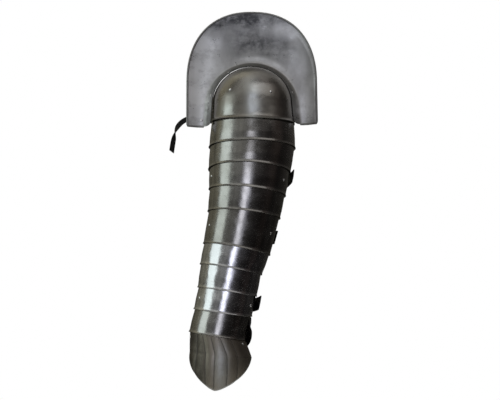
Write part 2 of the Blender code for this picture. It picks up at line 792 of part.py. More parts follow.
cap = shoulder_cap()
flange = shoulder_flange()
plates = {"shoulder_cap": (cap, 0)}
for position, edge_row in enumerate(EDGES[1:], start=1):
    plates[edge_row[0]] = (lame(edge_row[0], position), position)
hand = hand_plate()
plates["hand_plate"] = (hand, len(EDGES))

stops = [(0, -0.72), (0, -0.36), (0, 0.0)]
for position in range(1, len(EDGES)):
    tuck_share = OVERLAP / drop(position - 1)
    stops.append((position - 1, 1 - tuck_share))
    stops.append((position, 0.0))
stops.append((len(EDGES) - 1, 1 - OVERLAP / drop(len(EDGES) - 1)))
stops.append((len(EDGES), 0.0))
leathers = {side: inner_leather(f"inner_leather_{side}", turn, stops) for side, turn, _ in CAP_RIVETS}

for strap_row in STRAPS:
    owner, owner_section = plates[strap_row[0]]
    if strap_row[0] == "hand_plate":
        at_share = HAND_STRAP_PLACE
        outer = hand_offset(at_share * drop(owner_section) / hand_reach(math.radians(strap_row[1])), False)
    else:
        at_share = STRAP_PLACE
        outer = (PLATE + GAP) * at_share / (1 - (OVERLAP + LIP_HEIGHT) / drop(owner_section))
    label, strap_billet, strap_chape = closing_strap(strap_row, owner_section, at_share)
    strap_rivets(strap_row, label, owner, owner_section, at_share, outer, strap_billet, strap_chape)

cap_rivets(cap, leathers)
collar_rivets(flange, cap)
tie_and_rivet(flange)
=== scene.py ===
import math

import bmesh
import bpy
import numpy as np
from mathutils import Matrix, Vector


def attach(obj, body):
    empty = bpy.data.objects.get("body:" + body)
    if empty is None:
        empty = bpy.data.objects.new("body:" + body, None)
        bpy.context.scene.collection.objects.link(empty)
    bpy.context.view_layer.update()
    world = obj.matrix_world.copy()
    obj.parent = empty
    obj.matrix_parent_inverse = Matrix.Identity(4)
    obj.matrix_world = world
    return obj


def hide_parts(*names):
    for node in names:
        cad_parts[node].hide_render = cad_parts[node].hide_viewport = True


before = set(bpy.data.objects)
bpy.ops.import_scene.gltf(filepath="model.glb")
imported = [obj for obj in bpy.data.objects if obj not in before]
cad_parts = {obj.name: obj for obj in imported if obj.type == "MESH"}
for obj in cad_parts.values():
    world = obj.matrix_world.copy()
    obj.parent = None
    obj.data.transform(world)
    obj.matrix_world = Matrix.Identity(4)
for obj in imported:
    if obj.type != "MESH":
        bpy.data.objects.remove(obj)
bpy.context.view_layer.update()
print("frame loaded:", len(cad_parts), "nodes")

# Frame: +Z up along the upper arm, -Y out of the arm's outer side, +X towards the back of the arm.
# The origin is the inside crown of the shoulder cap. All lengths are in metres.

domeRadius = 0.0784         # outer radius of the shoulder dome, which the other widths follow
armHalfWidth = 1.0115 * domeRadius

steel = {
    "plate": 0.0012,        # thickness of the sheet
    "gap": 0.0003,          # clearance between one plate and the next
    "overlap": 0.014,       # how far a lame runs up under the plate above
    "lipHeight": 0.005,     # the strip along a lower edge that is turned out
    "lipFlare": 0.0015,     # how far it is turned out
    "wrap": math.radians(108),  # how far a lame goes round to either side
    "pitch": 0.042,         # height that the drops and sags below are shares of
    "halfWidth": armHalfWidth,
    "dome": domeRadius,
    "edgeShadeWidth": 0.0035,    # the strip along a lower edge that takes the painted edge shade
    "edgeRound": 0.00035,   # rounding of every cut edge
    "cadFacets": 18,        # flat facets round each lame in the solids
}
domeCentre = steel["plate"] - steel["dome"]
leather = {
    "thick": 0.0022, "width": 0.026, "innerWidth": 0.024, "end": 0.009, "edgeRound": 0.0005,
    "flat": 0.80,           # depth of the straps' course round the back, as a share of the round one
}
buckle = {
    "wire": 0.0015, "length": 0.020, "angle": math.radians(138), "corner": 0.0025, "prong": 0.0010,
    "foldBack": 0.024,      # how far the chape runs back behind the bar
}
rivetSize = {"head": 0.0026, "rise": 0.0013, "shank": 0.0012, "tail": 0.0021, "sides": 24}


# helpers for grids and meshes, used by every piece
def runLength(points):
    # the distance covered up to each point of a line
    return np.concatenate([[0], np.cumsum(np.linalg.norm(np.diff(points, axis=0), axis=1))])


def smoothStep(share):
    # 3 s^2 - 2 s^3, which goes from 0 to 1 with level ends
    return share * share * (3 - 2 * share)


def smoothPath(points, count, closed=False):
    # a Catmull-Rom curve through the rows of points, sampled evenly along its length
    points = np.asarray(points, float)
    if closed:
        knots = np.concatenate([points[-1:], points, points[:2]])
    else:
        knots = np.concatenate([[2 * points[0] - points[1]], points, [2 * points[-1] - points[-2]]])
    spans = len(knots) - 3
    t = np.linspace(0, spans, spans * 24 + 1)[:, None]
    i = np.minimum(t.astype(int), spans - 1)
    u = t - i
    a, b, c, d = (knots[(i + k).ravel()] for k in range(4))
    curve = 0.5 * (2 * b + (c - a) * u + (2 * a - 5 * b + 4 * c - d) * u**2 + (3 * b - a - 3 * c + d) * u**3)
    length = runLength(curve)
    at = np.linspace(0, length[-1], count + 1)[: count if closed else count + 1]
    return np.stack([np.interp(at, length, curve[:, k]) for k in range(curve.shape[1])], axis=1)


def unit(vectors):
    # each vector over its length
    return vectors / np.maximum(np.linalg.norm(vectors, axis=-1, keepdims=True), 1e-12)


def gridFaces(rows, columns, closedRows=False, closedColumns=False, flip=False):
    # quads over a grid of rows x columns, with the last joined to the first where closed
    i = np.arange(rows if closedRows else rows - 1)[:, None]
    j = np.arange(columns if closedColumns else columns - 1)[None, :]
    a = i * columns + j
    b = i * columns + (j + 1) % columns
    c = ((i + 1) % rows) * columns + (j + 1) % columns
    d = ((i + 1) % rows) * columns + j
    faces = np.stack(np.broadcast_arrays(a, b, c, d) if flip else np.broadcast_arrays(a, d, c, b), axis=-1)
    return faces.reshape(-1, 4)


def fillMesh(name, points, quads, uv=None, marks=None, caps=()):
    # the mesh of these points and quads, with a UV map in metres and float attributes by point
    mesh = bpy.data.meshes.new(name)
    faces = [list(quad) for quad in quads] + [list(cap) for cap in caps]
    mesh.from_pydata(points.reshape(-1, 3).tolist(), [], faces)
    if uv is not None:
        layer = mesh.uv_layers.new(name="UVMap")
        corners = np.empty(len(mesh.loops), np.int32)
        mesh.loops.foreach_get("vertex_index", corners)
        layer.data.foreach_set("uv", uv.reshape(-1, 2)[corners].astype(np.float32).ravel())
    for label, values in (marks or {}).items():
        attribute = mesh.attributes.new(label, "FLOAT", "POINT")
        attribute.data.foreach_set("value", np.asarray(values, np.float32).ravel())
    mesh.shade_smooth()
    return mesh


def addPiece(name, mesh, material, nodes):
    # a finished piece at the origin, riding on the one body, standing for its CAD nodes
    piece = bpy.data.objects.new(name, mesh)
    bpy.context.scene.collection.objects.link(piece)
    mesh.materials.append(material)
    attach(piece, "root")
    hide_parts(*nodes)
    return piece


def thicken(piece, thickness, offset, edgeRound):
    # a wall of the thickness on the sheet, inwards at -1 and to both sides at 0, then its cut edges rounded
    wall = piece.modifiers.new("wall", "SOLIDIFY")
    wall.thickness = thickness
    wall.offset = offset
    wall.use_even_offset = True
    edge = piece.modifiers.new("edge", "BEVEL")
    edge.width = edgeRound
    edge.segments = 2
    edge.limit_method = "ANGLE"
    edge.angle_limit = math.radians(55)
    edge.harden_normals = True
    return piece


def tubeMesh(name, path, radius, sides=16, closed=False):
    # a circle carried along the path; the ends of an open one are drawn in to a rounded tip
    path = np.asarray(path, float)
    if closed:
        tangent = unit(np.roll(path, -1, 0) - np.roll(path, 1, 0))
    else:
        tangent = unit(np.gradient(path, axis=0))
    normal = np.zeros_like(path)
    start = np.cross(tangent[0], [0.31, 0.17, 0.93])
    normal[0] = start / np.linalg.norm(start)
    for k in range(1, len(path)):
        turned = normal[k - 1] - tangent[k] * np.dot(normal[k - 1], tangent[k])
        normal[k] = turned / np.linalg.norm(turned)
    side = np.cross(tangent, normal)
    if closed:
        twist = math.atan2(np.dot(normal[-1], side[0]), np.dot(normal[-1], normal[0]))
        spin = -twist * np.arange(len(path)) / len(path)
        normal, side = (
            normal * np.cos(spin)[:, None] + side * np.sin(spin)[:, None],
            side * np.cos(spin)[:, None] - normal * np.sin(spin)[:, None],
        )
    radii = np.full(len(path), radius)
    if not closed:
        tipAngles = np.linspace(0.12, math.pi / 2, 5)  # the rounded tip's steps, as angles
        tip, steps = np.sin(tipAngles), np.cos(tipAngles) * radius
        before = path[:1] - tangent[:1] * steps[:, None]
        after = path[-1:] + tangent[-1:] * steps[::-1, None]
        path = np.concatenate([before, path[1:-1], after])
        radii = np.concatenate([tip * radius, radii[1:-1], tip[::-1] * radius])
        normal = np.concatenate([np.repeat(normal[:1], 5, 0), normal[1:-1], np.repeat(normal[-1:], 5, 0)])
        side = np.concatenate([np.repeat(side[:1], 5, 0), side[1:-1], np.repeat(side[-1:], 5, 0)])
    angle = np.linspace(0, 2 * math.pi, sides, endpoint=False)
    ring = normal[:, None] * np.cos(angle)[None, :, None] + side[:, None] * np.sin(angle)[None, :, None]
    points = path[:, None] + ring * radii[:, None, None]
    quads = gridFaces(len(path), sides, closedRows=closed, closedColumns=True, flip=True)
    caps = () if closed else (list(range(sides))[::-1], [(len(path) - 1) * sides + k for k in range(sides)])
    return fillMesh(name, points, quads, caps=caps)


# the arm's rings: each lower edge is a tilted ellipse
edgeRows = np.array([  # drop, centre, half width, depth over half width, tilt in degrees, sag
    (0.764, 0.010, 1.000, 0.985, 1.2, 0.17),   # cap
    (1.138, -0.008, 1.018, 0.950, 0.8, 0.02),  # lame 1
    (1.088, -0.073, 0.963, 0.985, 2.5, -0.10),
    (0.979, -0.127, 0.898, 1.010, 5.2, 0.00),
    (1.019, -0.205, 0.843, 1.005, 5.8, 0.00),
    (1.550, -0.378, 0.780, 1.000, 10.2, 0.02),  # lame 5, at the elbow
    (0.905, -0.512, 0.717, 1.020, 10.0, 0.02),
    (0.988, -0.598, 0.679, 1.025, 8.9, 0.03),
    (0.917, -0.697, 0.662, 1.015, 7.6, 0.06),
    (1.005, -0.817, 0.648, 1.010, 8.4, 0.03),  # lame 9
])
hand = {
    "length": 0.0985, "corner": 0.034, "halfWidth": 0.729 * armHalfWidth, "fullness": 1.5, "wrap": math.radians(92),
    "shift": 0.006, "turn": math.radians(3), "curl": 0.30, "flute": 0.0011,
}


def armRings():
    # heights add up from the dome's centre; the first ring is the dome's equator, the last is over the hand
    first = steel["dome"] - steel["plate"] - steel["gap"]
    width = np.concatenate([[first], edgeRows[:, 2] * steel["halfWidth"], [hand["halfWidth"] - steel["plate"]]])
    depth = np.concatenate([[first], edgeRows[:, 2] * steel["halfWidth"] * edgeRows[:, 3]])
    height = domeCentre - np.concatenate([[0], np.cumsum(edgeRows[:, 0]) * steel["pitch"]])
    centre = np.concatenate([[0], edgeRows[:, 1] * steel["halfWidth"]])
    tilt = np.radians(np.concatenate([[0], edgeRows[:, 4]]))
    return {
        "width": width,
        "depth": np.append(depth, depth[-1]),
        "height": np.append(height, height[-1] - hand["corner"]),
        "centre": np.append(centre, centre[-1] + hand["shift"]),
        "tilt": np.append(tilt, tilt[-1] - hand["turn"]),
        "sag": np.concatenate([[0], edgeRows[:, 5] * steel["pitch"], [0]]),
    }


arm = armRings()
drops = arm["height"][:-1] - arm["height"][1:]
lastRing = len(edgeRows)
hollow = arm["width"] * (1 - math.cos(steel["wrap"] / steel["cadFacets"]))  # how far the CAD's flat facets stand inside


def ringPoint(ring, angle, offset):
    # centre + (width + offset) sin(angle) along the tilted line, (depth + offset) cos(angle) to the front
    along = (arm["width"][ring] + offset) * np.sin(angle)
    x = arm["centre"][ring] + along * np.cos(arm["tilt"][ring])
    y = -(arm["depth"][ring] + offset) * np.cos(angle)
    z = arm["height"][ring] - arm["sag"][ring] * np.cos(angle) - along * np.sin(arm["tilt"][ring])
    return np.stack(np.broadcast_arrays(x, y, z), axis=-1)


def skin(section, share, angle, offset):
    # straight between one ring and the next, at a share of the way down
    section = np.asarray(section)
    share = np.asarray(share, float)
    upper, lower = ringPoint(section, angle, offset), ringPoint(section + 1, angle, offset)
    return upper + (lower - upper) * share[..., None]


def skinNormal(section, share, angle, offset):
    # across both the way down and the way round, each taken from a small step to either side
    step = 0.001
    sideways = skin(section, share, angle + step, offset) - skin(section, share, angle - step, offset)
    down = skin(section, share + step, angle, offset) - skin(section, share - step, angle, offset)
    return unit(np.cross(down, sideways))


# materials: node helpers, then the steels and the leather
def newMaterial(name):
    # the material, its node tree and its one shader
    material = bpy.data.materials.new(name)
    material.use_nodes = True
    tree = material.node_tree
    return material, tree, tree.nodes["Principled BSDF"]


def addNode(tree, kind, inputs=None, **settings):
    # a node with its settings, and values for its named inputs
    node = tree.nodes.new(kind)
    for key, value in settings.items():
        setattr(node, key, value)
    for key, value in (inputs or {}).items():
        node.inputs[key].default_value = value
    return node


def stretchedNoise(tree, stretch, scale, detail, rough):
    # noise on object coordinates, stretched by a Mapping node
    coords = addNode(tree, "ShaderNodeTexCoord")
    mapping = addNode(tree, "ShaderNodeMapping", {"Scale": stretch})
    noise = addNode(tree, "ShaderNodeTexNoise", {"Scale": scale, "Detail": detail, "Roughness": rough})
    tree.links.new(coords.outputs["Object"], mapping.inputs["Vector"])
    tree.links.new(mapping.outputs[0], noise.inputs["Vector"])
    return noise


def ramp(tree, source, stops):
    # a colour ramp of (place, colour or grey) stops
    node = addNode(tree, "ShaderNodeValToRGB")
    band = node.color_ramp
    while len(band.elements) < len(stops):
        band.elements.new(0.5)
    for element, (place, colour) in zip(band.elements, stops):
        element.position = place
        element.color = (*colour, 1) if isinstance(colour, tuple) else (colour, colour, colour, 1)
    tree.links.new(source, node.inputs[0])
    return node.outputs["Color"]


def mixColour(tree, factor, first, second, blend="MIX"):
    # first to second by the factor; each may be a socket, a colour or a number
    node = addNode(tree, "ShaderNodeMix", data_type="RGBA", blend_type=blend)
    for socket, value in ((node.inputs[0], factor), (node.inputs[6], first), (node.inputs[7], second)):
        if isinstance(value, bpy.types.NodeSocket):
            tree.links.new(value, socket)
        elif isinstance(value, tuple):
            socket.default_value = (*value, 1)
        else:
            socket.default_value = value
    return node.outputs[2]


def maths(tree, operation, *values, clamp=False):
    # one operation on sockets or numbers
    node = addNode(tree, "ShaderNodeMath", operation=operation, use_clamp=clamp)
    for socket, value in zip(node.inputs, values):
        if isinstance(value, bpy.types.NodeSocket):
            tree.links.new(value, socket)
        else:
            socket.default_value = value
    return node.outputs[0]


def markValue(tree, mark):
    # the mesh's own float attribute of that name
    return addNode(tree, "ShaderNodeAttribute", attribute_name=mark).outputs["Fac"]


def bump(tree, height, distance, strength=1.0, under=None):
    # the height as relief of that distance, on top of another bump
    node = addNode(tree, "ShaderNodeBump", {"Strength": strength, "Distance": distance})
    tree.links.new(height, node.inputs["Height"])
    if under is not None:
        tree.links.new(under, node.inputs["Normal"])
    return node.outputs[0]


steelPattern = {  # the fine marks that every steel has, and the tone and roughness of the painted shade in recesses
    "speckScale": 190, "smudgeScale": 34, "scratchScale": 150, "scratchStretch": 9.0, "pitScale": 420,
    "recessShade": (0.022, 0.020, 0.018), "recessShadeRoughness": 0.8,
}


def steelMaterial(name, look):
    # tone: broad clouds, dark specks, painted edge shade and highlight, then painted shade and highlight patches torn
    # into wisps, and painted shade in recesses; roughness: smudges plus fine scratches; bumps: wide waves with small
    # pits on them
    material, tree, shader = newMaterial(name)
    cloud = stretchedNoise(tree, (1, 1, 0.6), look["cloudScale"], 5, 0.6)
    tone = ramp(tree, cloud.outputs["Fac"], ((0.30, look["dark"]), (0.52, look["mid"]), (0.74, look["light"])))
    specks = stretchedNoise(tree, (1, 1, 1), steelPattern["speckScale"], 3, 0.7)
    speck = ramp(tree, specks.outputs["Fac"], ((0.60, 0.0), (0.74, 1.0)))
    tone = mixColour(tree, maths(tree, "MULTIPLY", speck, look["speckle"]), tone, look["dark"])
    # painted light along the edges: shade on the lames, the cap and the shield's collar and roll, a highlight on the
    # hand plate's lower edge
    paintedEdgeAmount = maths(tree, "MULTIPLY", markValue(tree, "edgeLightShade"), look["edgeLightShadeAmount"], clamp=True)
    tone = mixColour(tree, paintedEdgeAmount, tone, look["edge"])
    wisps = stretchedNoise(tree, (1, 1, 1.3), look["wispScale"], 6, 0.68)
    ragged = ramp(tree, wisps.outputs["Fac"], ((0.36, 1 - look["wisp"]), (0.60, 1.0 + 0.35 * look["wisp"])))
    for mark in ("shade", "sheen"):
        amount = maths(tree, "MULTIPLY", markValue(tree, mark), ragged, clamp=True)
        tone = mixColour(tree, amount, tone, look[mark])
    # painted shade in recesses: on the cap's back under the collar, at the collar's lip and along the hand plate's
    # creases; it also takes metal away and adds roughness
    recessShadeMask = markValue(tree, "recessShadeMask")
    tone = mixColour(tree, recessShadeMask, tone, steelPattern["recessShade"])
    tree.links.new(tone, shader.inputs["Base Color"])
    metal = maths(tree, "SUBTRACT", look.get("metal", 1.0), recessShadeMask, clamp=True)
    tree.links.new(metal, shader.inputs["Metallic"])
    smudge = stretchedNoise(tree, (1, 1, 1.6), steelPattern["smudgeScale"], 5, 0.62)
    low, high = look["roughness"]
    base = ramp(tree, smudge.outputs["Fac"], ((0.34, low), (0.70, high)))
    scratch = stretchedNoise(tree, (1.0, 1.0, steelPattern["scratchStretch"]), steelPattern["scratchScale"], 2, 0.5)
    lines = ramp(tree, scratch.outputs["Fac"], ((0.62, 0.0), (0.70, 1.0)))
    rough = maths(tree, "ADD", base, maths(tree, "MULTIPLY", lines, look["scratch"]), clamp=True)
    rough = maths(tree, "MAXIMUM", rough, maths(tree, "MULTIPLY", recessShadeMask, steelPattern["recessShadeRoughness"]))
    tree.links.new(rough, shader.inputs["Roughness"])
    waves = stretchedNoise(tree, (1, 1, 1), look["waveScale"], 2, 0.45)
    pits = stretchedNoise(tree, (1, 1, 1), steelPattern["pitScale"], 2, 0.5)
    wave = bump(tree, waves.outputs["Fac"], look["wave"])
    tree.links.new(bump(tree, pits.outputs["Fac"], look["pit"], under=wave), shader.inputs["Normal"])
    return material


plateLook = {  # the lames; "edge" is the tone of the painted shade along the edges, "shade" and "sheen" are the tones of the painted shade and highlight patches
    "cloudScale": 11, "dark": (0.27, 0.257, 0.235), "mid": (0.40, 0.39, 0.37), "light": (0.52, 0.51, 0.50),
    "edge": (0.20, 0.19, 0.175), "edgeLightShadeAmount": 0.7, "speckle": 0.1, "roughness": (0.16, 0.30), "scratch": 0.10,
    "waveScale": 22, "wave": 0.0011, "pit": 0.00003, "shade": (0.03, 0.029, 0.026), "sheen": (0.75, 0.78, 0.78),
    "wispScale": 40, "wisp": 0.2,
}
# a copy of the lames' look painted brighter, standing in for the stronger reflection on the three lames above the wrist
paintedLitPlateLook = dict(
    plateLook, dark=(0.60, 0.60, 0.62), mid=(0.72, 0.72, 0.74), light=(0.78, 0.78, 0.80),
    roughness=(0.17, 0.25), wave=0.0030,
)
capLook = dict(
    plateLook, dark=(0.26, 0.245, 0.22), mid=(0.35, 0.33, 0.30), light=(0.46, 0.44, 0.41),
    roughness=(0.25, 0.36), waveScale=24, wave=0.0020,
)
# its "edge" tone is painted shade over the collar and along the rolled rim
shieldLook = {
    "cloudScale": 20, "dark": (0.354, 0.348, 0.336), "mid": (0.561, 0.555, 0.549), "light": (0.779, 0.779, 0.785),
    "edge": (0.15, 0.145, 0.13), "edgeLightShadeAmount": 0.95, "speckle": 0.05, "roughness": (0.26, 0.44), "scratch": 0.0,
    "waveScale": 9, "wave": 0.0030, "pit": 0.00003, "shade": (0.07, 0.07, 0.072), "sheen": (1.0, 1.0, 1.0),
    "wispScale": 34, "wisp": 0.65, "metal": 0.5,
}
# its "edge" tone is a painted highlight along the lower edge
handLook = {
    "cloudScale": 15, "dark": (0.225, 0.20, 0.165), "mid": (0.32, 0.285, 0.235), "light": (0.40, 0.36, 0.30),
    "edge": (0.85, 0.84, 0.82), "edgeLightShadeAmount": 0.9, "speckle": 0.1, "roughness": (0.46, 0.56), "scratch": 0.08,
    "waveScale": 18, "wave": 0.0010, "pit": 0.00003, "shade": (0.03, 0.029, 0.026), "sheen": (0.75, 0.78, 0.78),
    "wispScale": 60, "wisp": 0.3,
}
brightLook = {
    "cloudScale": 60, "dark": (0.86, 0.85, 0.82), "mid": (0.94, 0.93, 0.90), "light": (0.98, 0.97, 0.95),
    "edge": (0.9, 0.9, 0.88), "edgeLightShadeAmount": 0.0, "speckle": 0.1, "roughness": (0.20, 0.30), "scratch": 0.05,
    "waveScale": 80, "wave": 0.0001, "pit": 0.00002, "shade": (0.2, 0.2, 0.2), "sheen": (0.9, 0.9, 0.9),
    "wispScale": 60, "wisp": 0.2,
}
leatherLook = {
    "dark": (0.004, 0.0038, 0.0036), "light": (0.010, 0.0095, 0.009), "rubbed": (0.026, 0.022, 0.018),
    "toneScale": 55, "roughness": (0.42, 0.62), "specular": 0.25,
    "grain": 1500, "grainDepth": 0.00012, "creases": 120, "creaseDepth": 0.0003,
}


def leatherMaterial(name, look):
    # black leather: a pebbled grain from smooth Voronoi cells, creases on it, and paler rubbed edges
    material, tree, shader = newMaterial(name)
    shader.inputs["Specular IOR Level"].default_value = look["specular"]
    broad = stretchedNoise(tree, (1, 1, 1), look["toneScale"], 4, 0.6).outputs["Fac"]
    tone = ramp(tree, broad, ((0.3, look["dark"]), (0.7, look["light"])))
    edge = maths(tree, "MULTIPLY", markValue(tree, "rub"), maths(tree, "MULTIPLY", broad, 0.8), clamp=True)
    tree.links.new(mixColour(tree, edge, tone, look["rubbed"]), shader.inputs["Base Color"])
    low, high = look["roughness"]
    tree.links.new(ramp(tree, broad, ((0.3, low), (0.7, high))), shader.inputs["Roughness"])
    coords = addNode(tree, "ShaderNodeTexCoord")
    cells = addNode(tree, "ShaderNodeTexVoronoi", {"Scale": look["grain"], "Smoothness": 0.6}, feature="SMOOTH_F1")
    tree.links.new(coords.outputs["Object"], cells.inputs["Vector"])
    grain = bump(tree, cells.outputs["Distance"], look["grainDepth"], 0.7)
    creases = stretchedNoise(tree, (1, 1, 3), look["creases"], 3, 0.6).outputs["Fac"]
    tree.links.new(bump(tree, creases, look["creaseDepth"], 0.6, under=grain), shader.inputs["Normal"])
    return material


lameSteel = steelMaterial("darkPolishedSteel", plateLook)
paintedLitLameSteel = steelMaterial("lameSteelPaintedBrighter", paintedLitPlateLook)
capSteel = steelMaterial("polishedCapSteel", capLook)
shieldSteel = steelMaterial("satinShieldSteel", shieldLook)
handSteel = steelMaterial("satinHandSteel", handLook)
brightSteel = steelMaterial("brightFastenerSteel", brightLook)
blackLeather = leatherMaterial("blackStrapLeather", leatherLook)
print("materials made")


# the nine lames
lame = {
    "columns": 132, "tuckRows": 4, "riseRows": 8, "plainRows": 5, "lipRows": 7,
    "lipCurve": 1.7,        # the power by which a lip turns out
    "endShade": 0.05,        # the strip at either end that takes the painted edge shade, as an angle
}


def makeLame(name, section):
    # rows down the sheet, columns round the arm; it rises clear of the next lame, then its lip goes out by
    # flare * t^1.7
    over, lip, clear, drop = steel["overlap"], steel["lipHeight"], steel["plate"] + steel["gap"], drops[section]
    risen, lipTop = 1 - (over + lip) / drop, 1 - lip / drop
    tuck = np.linspace(1 - over / drops[section - 1], 1, lame["tuckRows"] + 1)[:-1]
    rise = np.linspace(0, risen, lame["riseRows"] + 1)[:-1]
    plain = np.linspace(risen, lipTop, lame["plainRows"] + 1)[:-1]
    curl = np.linspace(0, 1, lame["lipRows"])
    share = np.concatenate([tuck, rise, plain, 1 - lip / drop * (1 - curl)])
    part = np.concatenate([np.full(len(tuck), section - 1), np.full(len(share) - len(tuck), section)])
    offset = np.concatenate([
        np.zeros(len(tuck)), clear * rise / risen, np.full(len(plain), clear),
        clear + steel["lipFlare"] * curl ** lame["lipCurve"],
    ])
    angle = np.linspace(-steel["wrap"], steel["wrap"], lame["columns"] + 1)
    points = skin(part[:, None], share[:, None], angle[None, :], offset[:, None])
    down = runLength(points[:, lame["columns"] // 2])
    uv = np.stack(np.broadcast_arrays(angle[None, :] * arm["width"][section], -down[:, None]), axis=-1)
    # painted shade along the lower edge and at both ends
    nearEnd = np.clip(1 - (steel["wrap"] - np.abs(angle)) / lame["endShade"], 0, 1)
    edgeLightShade = np.maximum(np.clip((down - down[-1]) / steel["edgeShadeWidth"] + 1, 0, 1)[:, None], nearEnd[None, :])
    mesh = fillMesh(name + "_steel", points, gridFaces(len(share), len(angle)), uv, {"edgeLightShade": edgeLightShade})
    finish = paintedLitLameSteel if 6 <= section <= 8 else lameSteel  # the three lames above the wrist are painted brighter, standing in for the stronger reflection on them
    piece = addPiece(name + "_steel", mesh, finish, [name])
    return thicken(piece, steel["plate"], -1, steel["edgeRound"])


for number in range(1, 10):
    makeLame(f"arm_lame_{number}", number)
print("lames made")


# the shoulder cap
cap = {
    "columns": 120, "latitudes": 36, "skirtRows": 7, "back": 0.008,
    "lipFlare": 0.0035, "lipEnd": math.radians(80), "lipFade": math.radians(18),
    "recessShadeFrom": -0.020, "recessShadeFade": 0.012,  # depth at which the painted shade under the collar starts, and how it fades in
}
capRivets = {"left": (-33, 77), "right": (26, 81)}  # degrees round from the front, and down from the crown


def patches(points, table):
    # the sum of strength * exp(-(dx / half width)^2 - (dz / half height)^2) over the table's rows
    x, z = points[..., 0, None] - table[:, 0], points[..., 2, None] - table[:, 1]
    return np.clip((table[:, 4] * np.exp(-(x / table[:, 2]) ** 2 - (z / table[:, 3]) ** 2)).sum(axis=-1), 0, 1.3)


capSheen = np.array([  # x, z, half width, half height and strength of each broad painted highlight
    (0.002, -0.090, 0.012, 0.030, 1.30), (-0.049, -0.098, 0.012, 0.012, 0.40), (0.004, -0.050, 0.022, 0.020, 0.35),
])


def makeCap():
    # a quarter circle down the dome, then the skirt to the lower ring; the back is trimmed off flat
    angle = np.linspace(-math.pi, math.pi, 2 * cap["columns"] + 1)
    slope = np.linspace(0, math.pi / 2, cap["latitudes"] + 1)
    dome = steel["dome"] * np.stack([
        np.sin(angle)[None, :] * np.sin(slope)[:, None],
        -np.cos(angle)[None, :] * np.sin(slope)[:, None],
        np.cos(slope)[:, None] + 0 * angle[None, :],
    ], axis=-1) + np.array([0, 0, domeCentre])
    clear, lipPart = steel["plate"] + steel["gap"], steel["lipHeight"] / drops[0]
    curl = np.linspace(0, 1, lame["lipRows"])
    share = np.concatenate([np.linspace(0, 1 - lipPart, cap["skirtRows"] + 2)[1:-1], 1 - lipPart * (1 - curl)])
    fade = smoothStep(np.clip((cap["lipEnd"] - np.abs(angle)) / cap["lipFade"], 0, 1))
    flare = np.concatenate([np.zeros(len(share) - len(curl)), curl ** lame["lipCurve"]])
    offset = clear + cap["lipFlare"] * flare[:, None] * fade[None, :]
    skirt = skin(np.zeros((len(share), 1), int), share[:, None], angle[None, :], offset)
    points = np.concatenate([dome, skirt])
    # painted shade along the lower edge and on the back under the collar; the painted highlights are kept off the back
    lower = np.clip((share - 1) * drops[0] / steel["edgeShadeWidth"] + 1, 0, 1)
    edgeLightShade = np.concatenate([np.zeros(len(slope)), lower])[:, None] + 0 * angle
    recessShade = np.clip((points[..., 1] - cap["recessShadeFrom"]) / cap["recessShadeFade"], 0, 1)
    marks = {"edgeLightShade": edgeLightShade, "recessShadeMask": recessShade, "sheen": patches(points, capSheen) * (1 - recessShade)}
    mesh = fillMesh("shoulder_cap_steel", points, gridFaces(len(points), len(angle)), marks=marks)
    form = bmesh.new()
    form.from_mesh(mesh)
    bmesh.ops.remove_doubles(form, verts=form.verts, dist=0.00001)
    whole = list(form.verts) + list(form.edges) + list(form.faces)
    bmesh.ops.bisect_plane(
        form, geom=whole, dist=0.00001, plane_co=(0, cap["back"], 0), plane_no=(0, 1, 0), clear_outer=True)
    form.to_mesh(mesh)
    form.free()
    piece = addPiece("shoulder_cap_steel", mesh, capSteel, ["shoulder_cap"])
    return thicken(piece, steel["plate"], -1, steel["edgeRound"])


makeCap()
print("cap made")


# the shield plate with its collar and rolled rim
shield = {
    "halfWidth": 0.1243, "rise": 0.1416, "shoulder": 0.049, "dish": 0.010, "curve": 2.3, "drop": 0.0335,
    "leg": 0.22, "lean": math.radians(-0.4), "splay": 0.0025, "slant": 0.0017, "rim": 0.0021,
    "collar": 0.9685 * domeRadius, "collarDepth": 0.026, "collarFlare": 0.0161, "collarLeg": 0.14,
    "columns": 180, "collarRows": 18, "plateRows": 21,
}
shieldMarks = {  # places and widths as shares of the way from the collar's foot to the rim, turns from -1 to 1
    "arc": 0.75, "arcAt": 0.075, "arcWidth": 0.055, "arcTurn": 0.16, "arcSpan": 0.34,  # painted highlight round the collar
    "border": 0.8, "borderAt": 0.925, "borderWidth": 0.035, "borderFrom": 0.25,        # painted highlight inside the rim
    # painted shade: where it fades out at the collar's foot, at the collar's lip, and the roll's share of the edge's
    # painted shade
    "footFade": 0.08, "lipShade": 0.12, "rollShade": 0.6,
}
shieldSheen = np.array([  # x, z, half width, half height and strength of each broad painted highlight
    (-0.100, 0.046, 0.028, 0.018, 2.00), (-0.118, -0.045, 0.020, 0.075, 1.80), (-0.096, -0.045, 0.018, 0.060, 0.60),
    (-0.098, 0.004, 0.034, 0.024, 0.80), (0.064, 0.078, 0.022, 0.010, 0.50), (0.080, 0.066, 0.010, 0.010, 0.35),
    (0.104, 0.000, 0.014, 0.050, 0.30), (0.100, -0.080, 0.018, 0.026, 0.60),
])
shieldShade = np.array([  # the same for each patch of painted shade
    (-0.008, 0.056, 0.048, 0.030, 0.72), (-0.078, 0.086, 0.022, 0.014, 1.00), (0.000, 0.101, 0.075, 0.015, 1.05),
    (0.055, 0.040, 0.040, 0.030, 0.50), (0.106, 0.050, 0.008, 0.035, 0.50), (0.110, 0.010, 0.006, 0.020, 0.30),
])
shieldCentre = np.array([-0.001, 0, domeCentre - 0.0011])
collarSection = np.array([  # from the lip to the foot: out as a share of the flare, back as a share of the depth
    (0.0, -1.0), (0.21, -0.58), (0.40, -0.27), (0.62, -0.06), (1.0, 0.058),
])


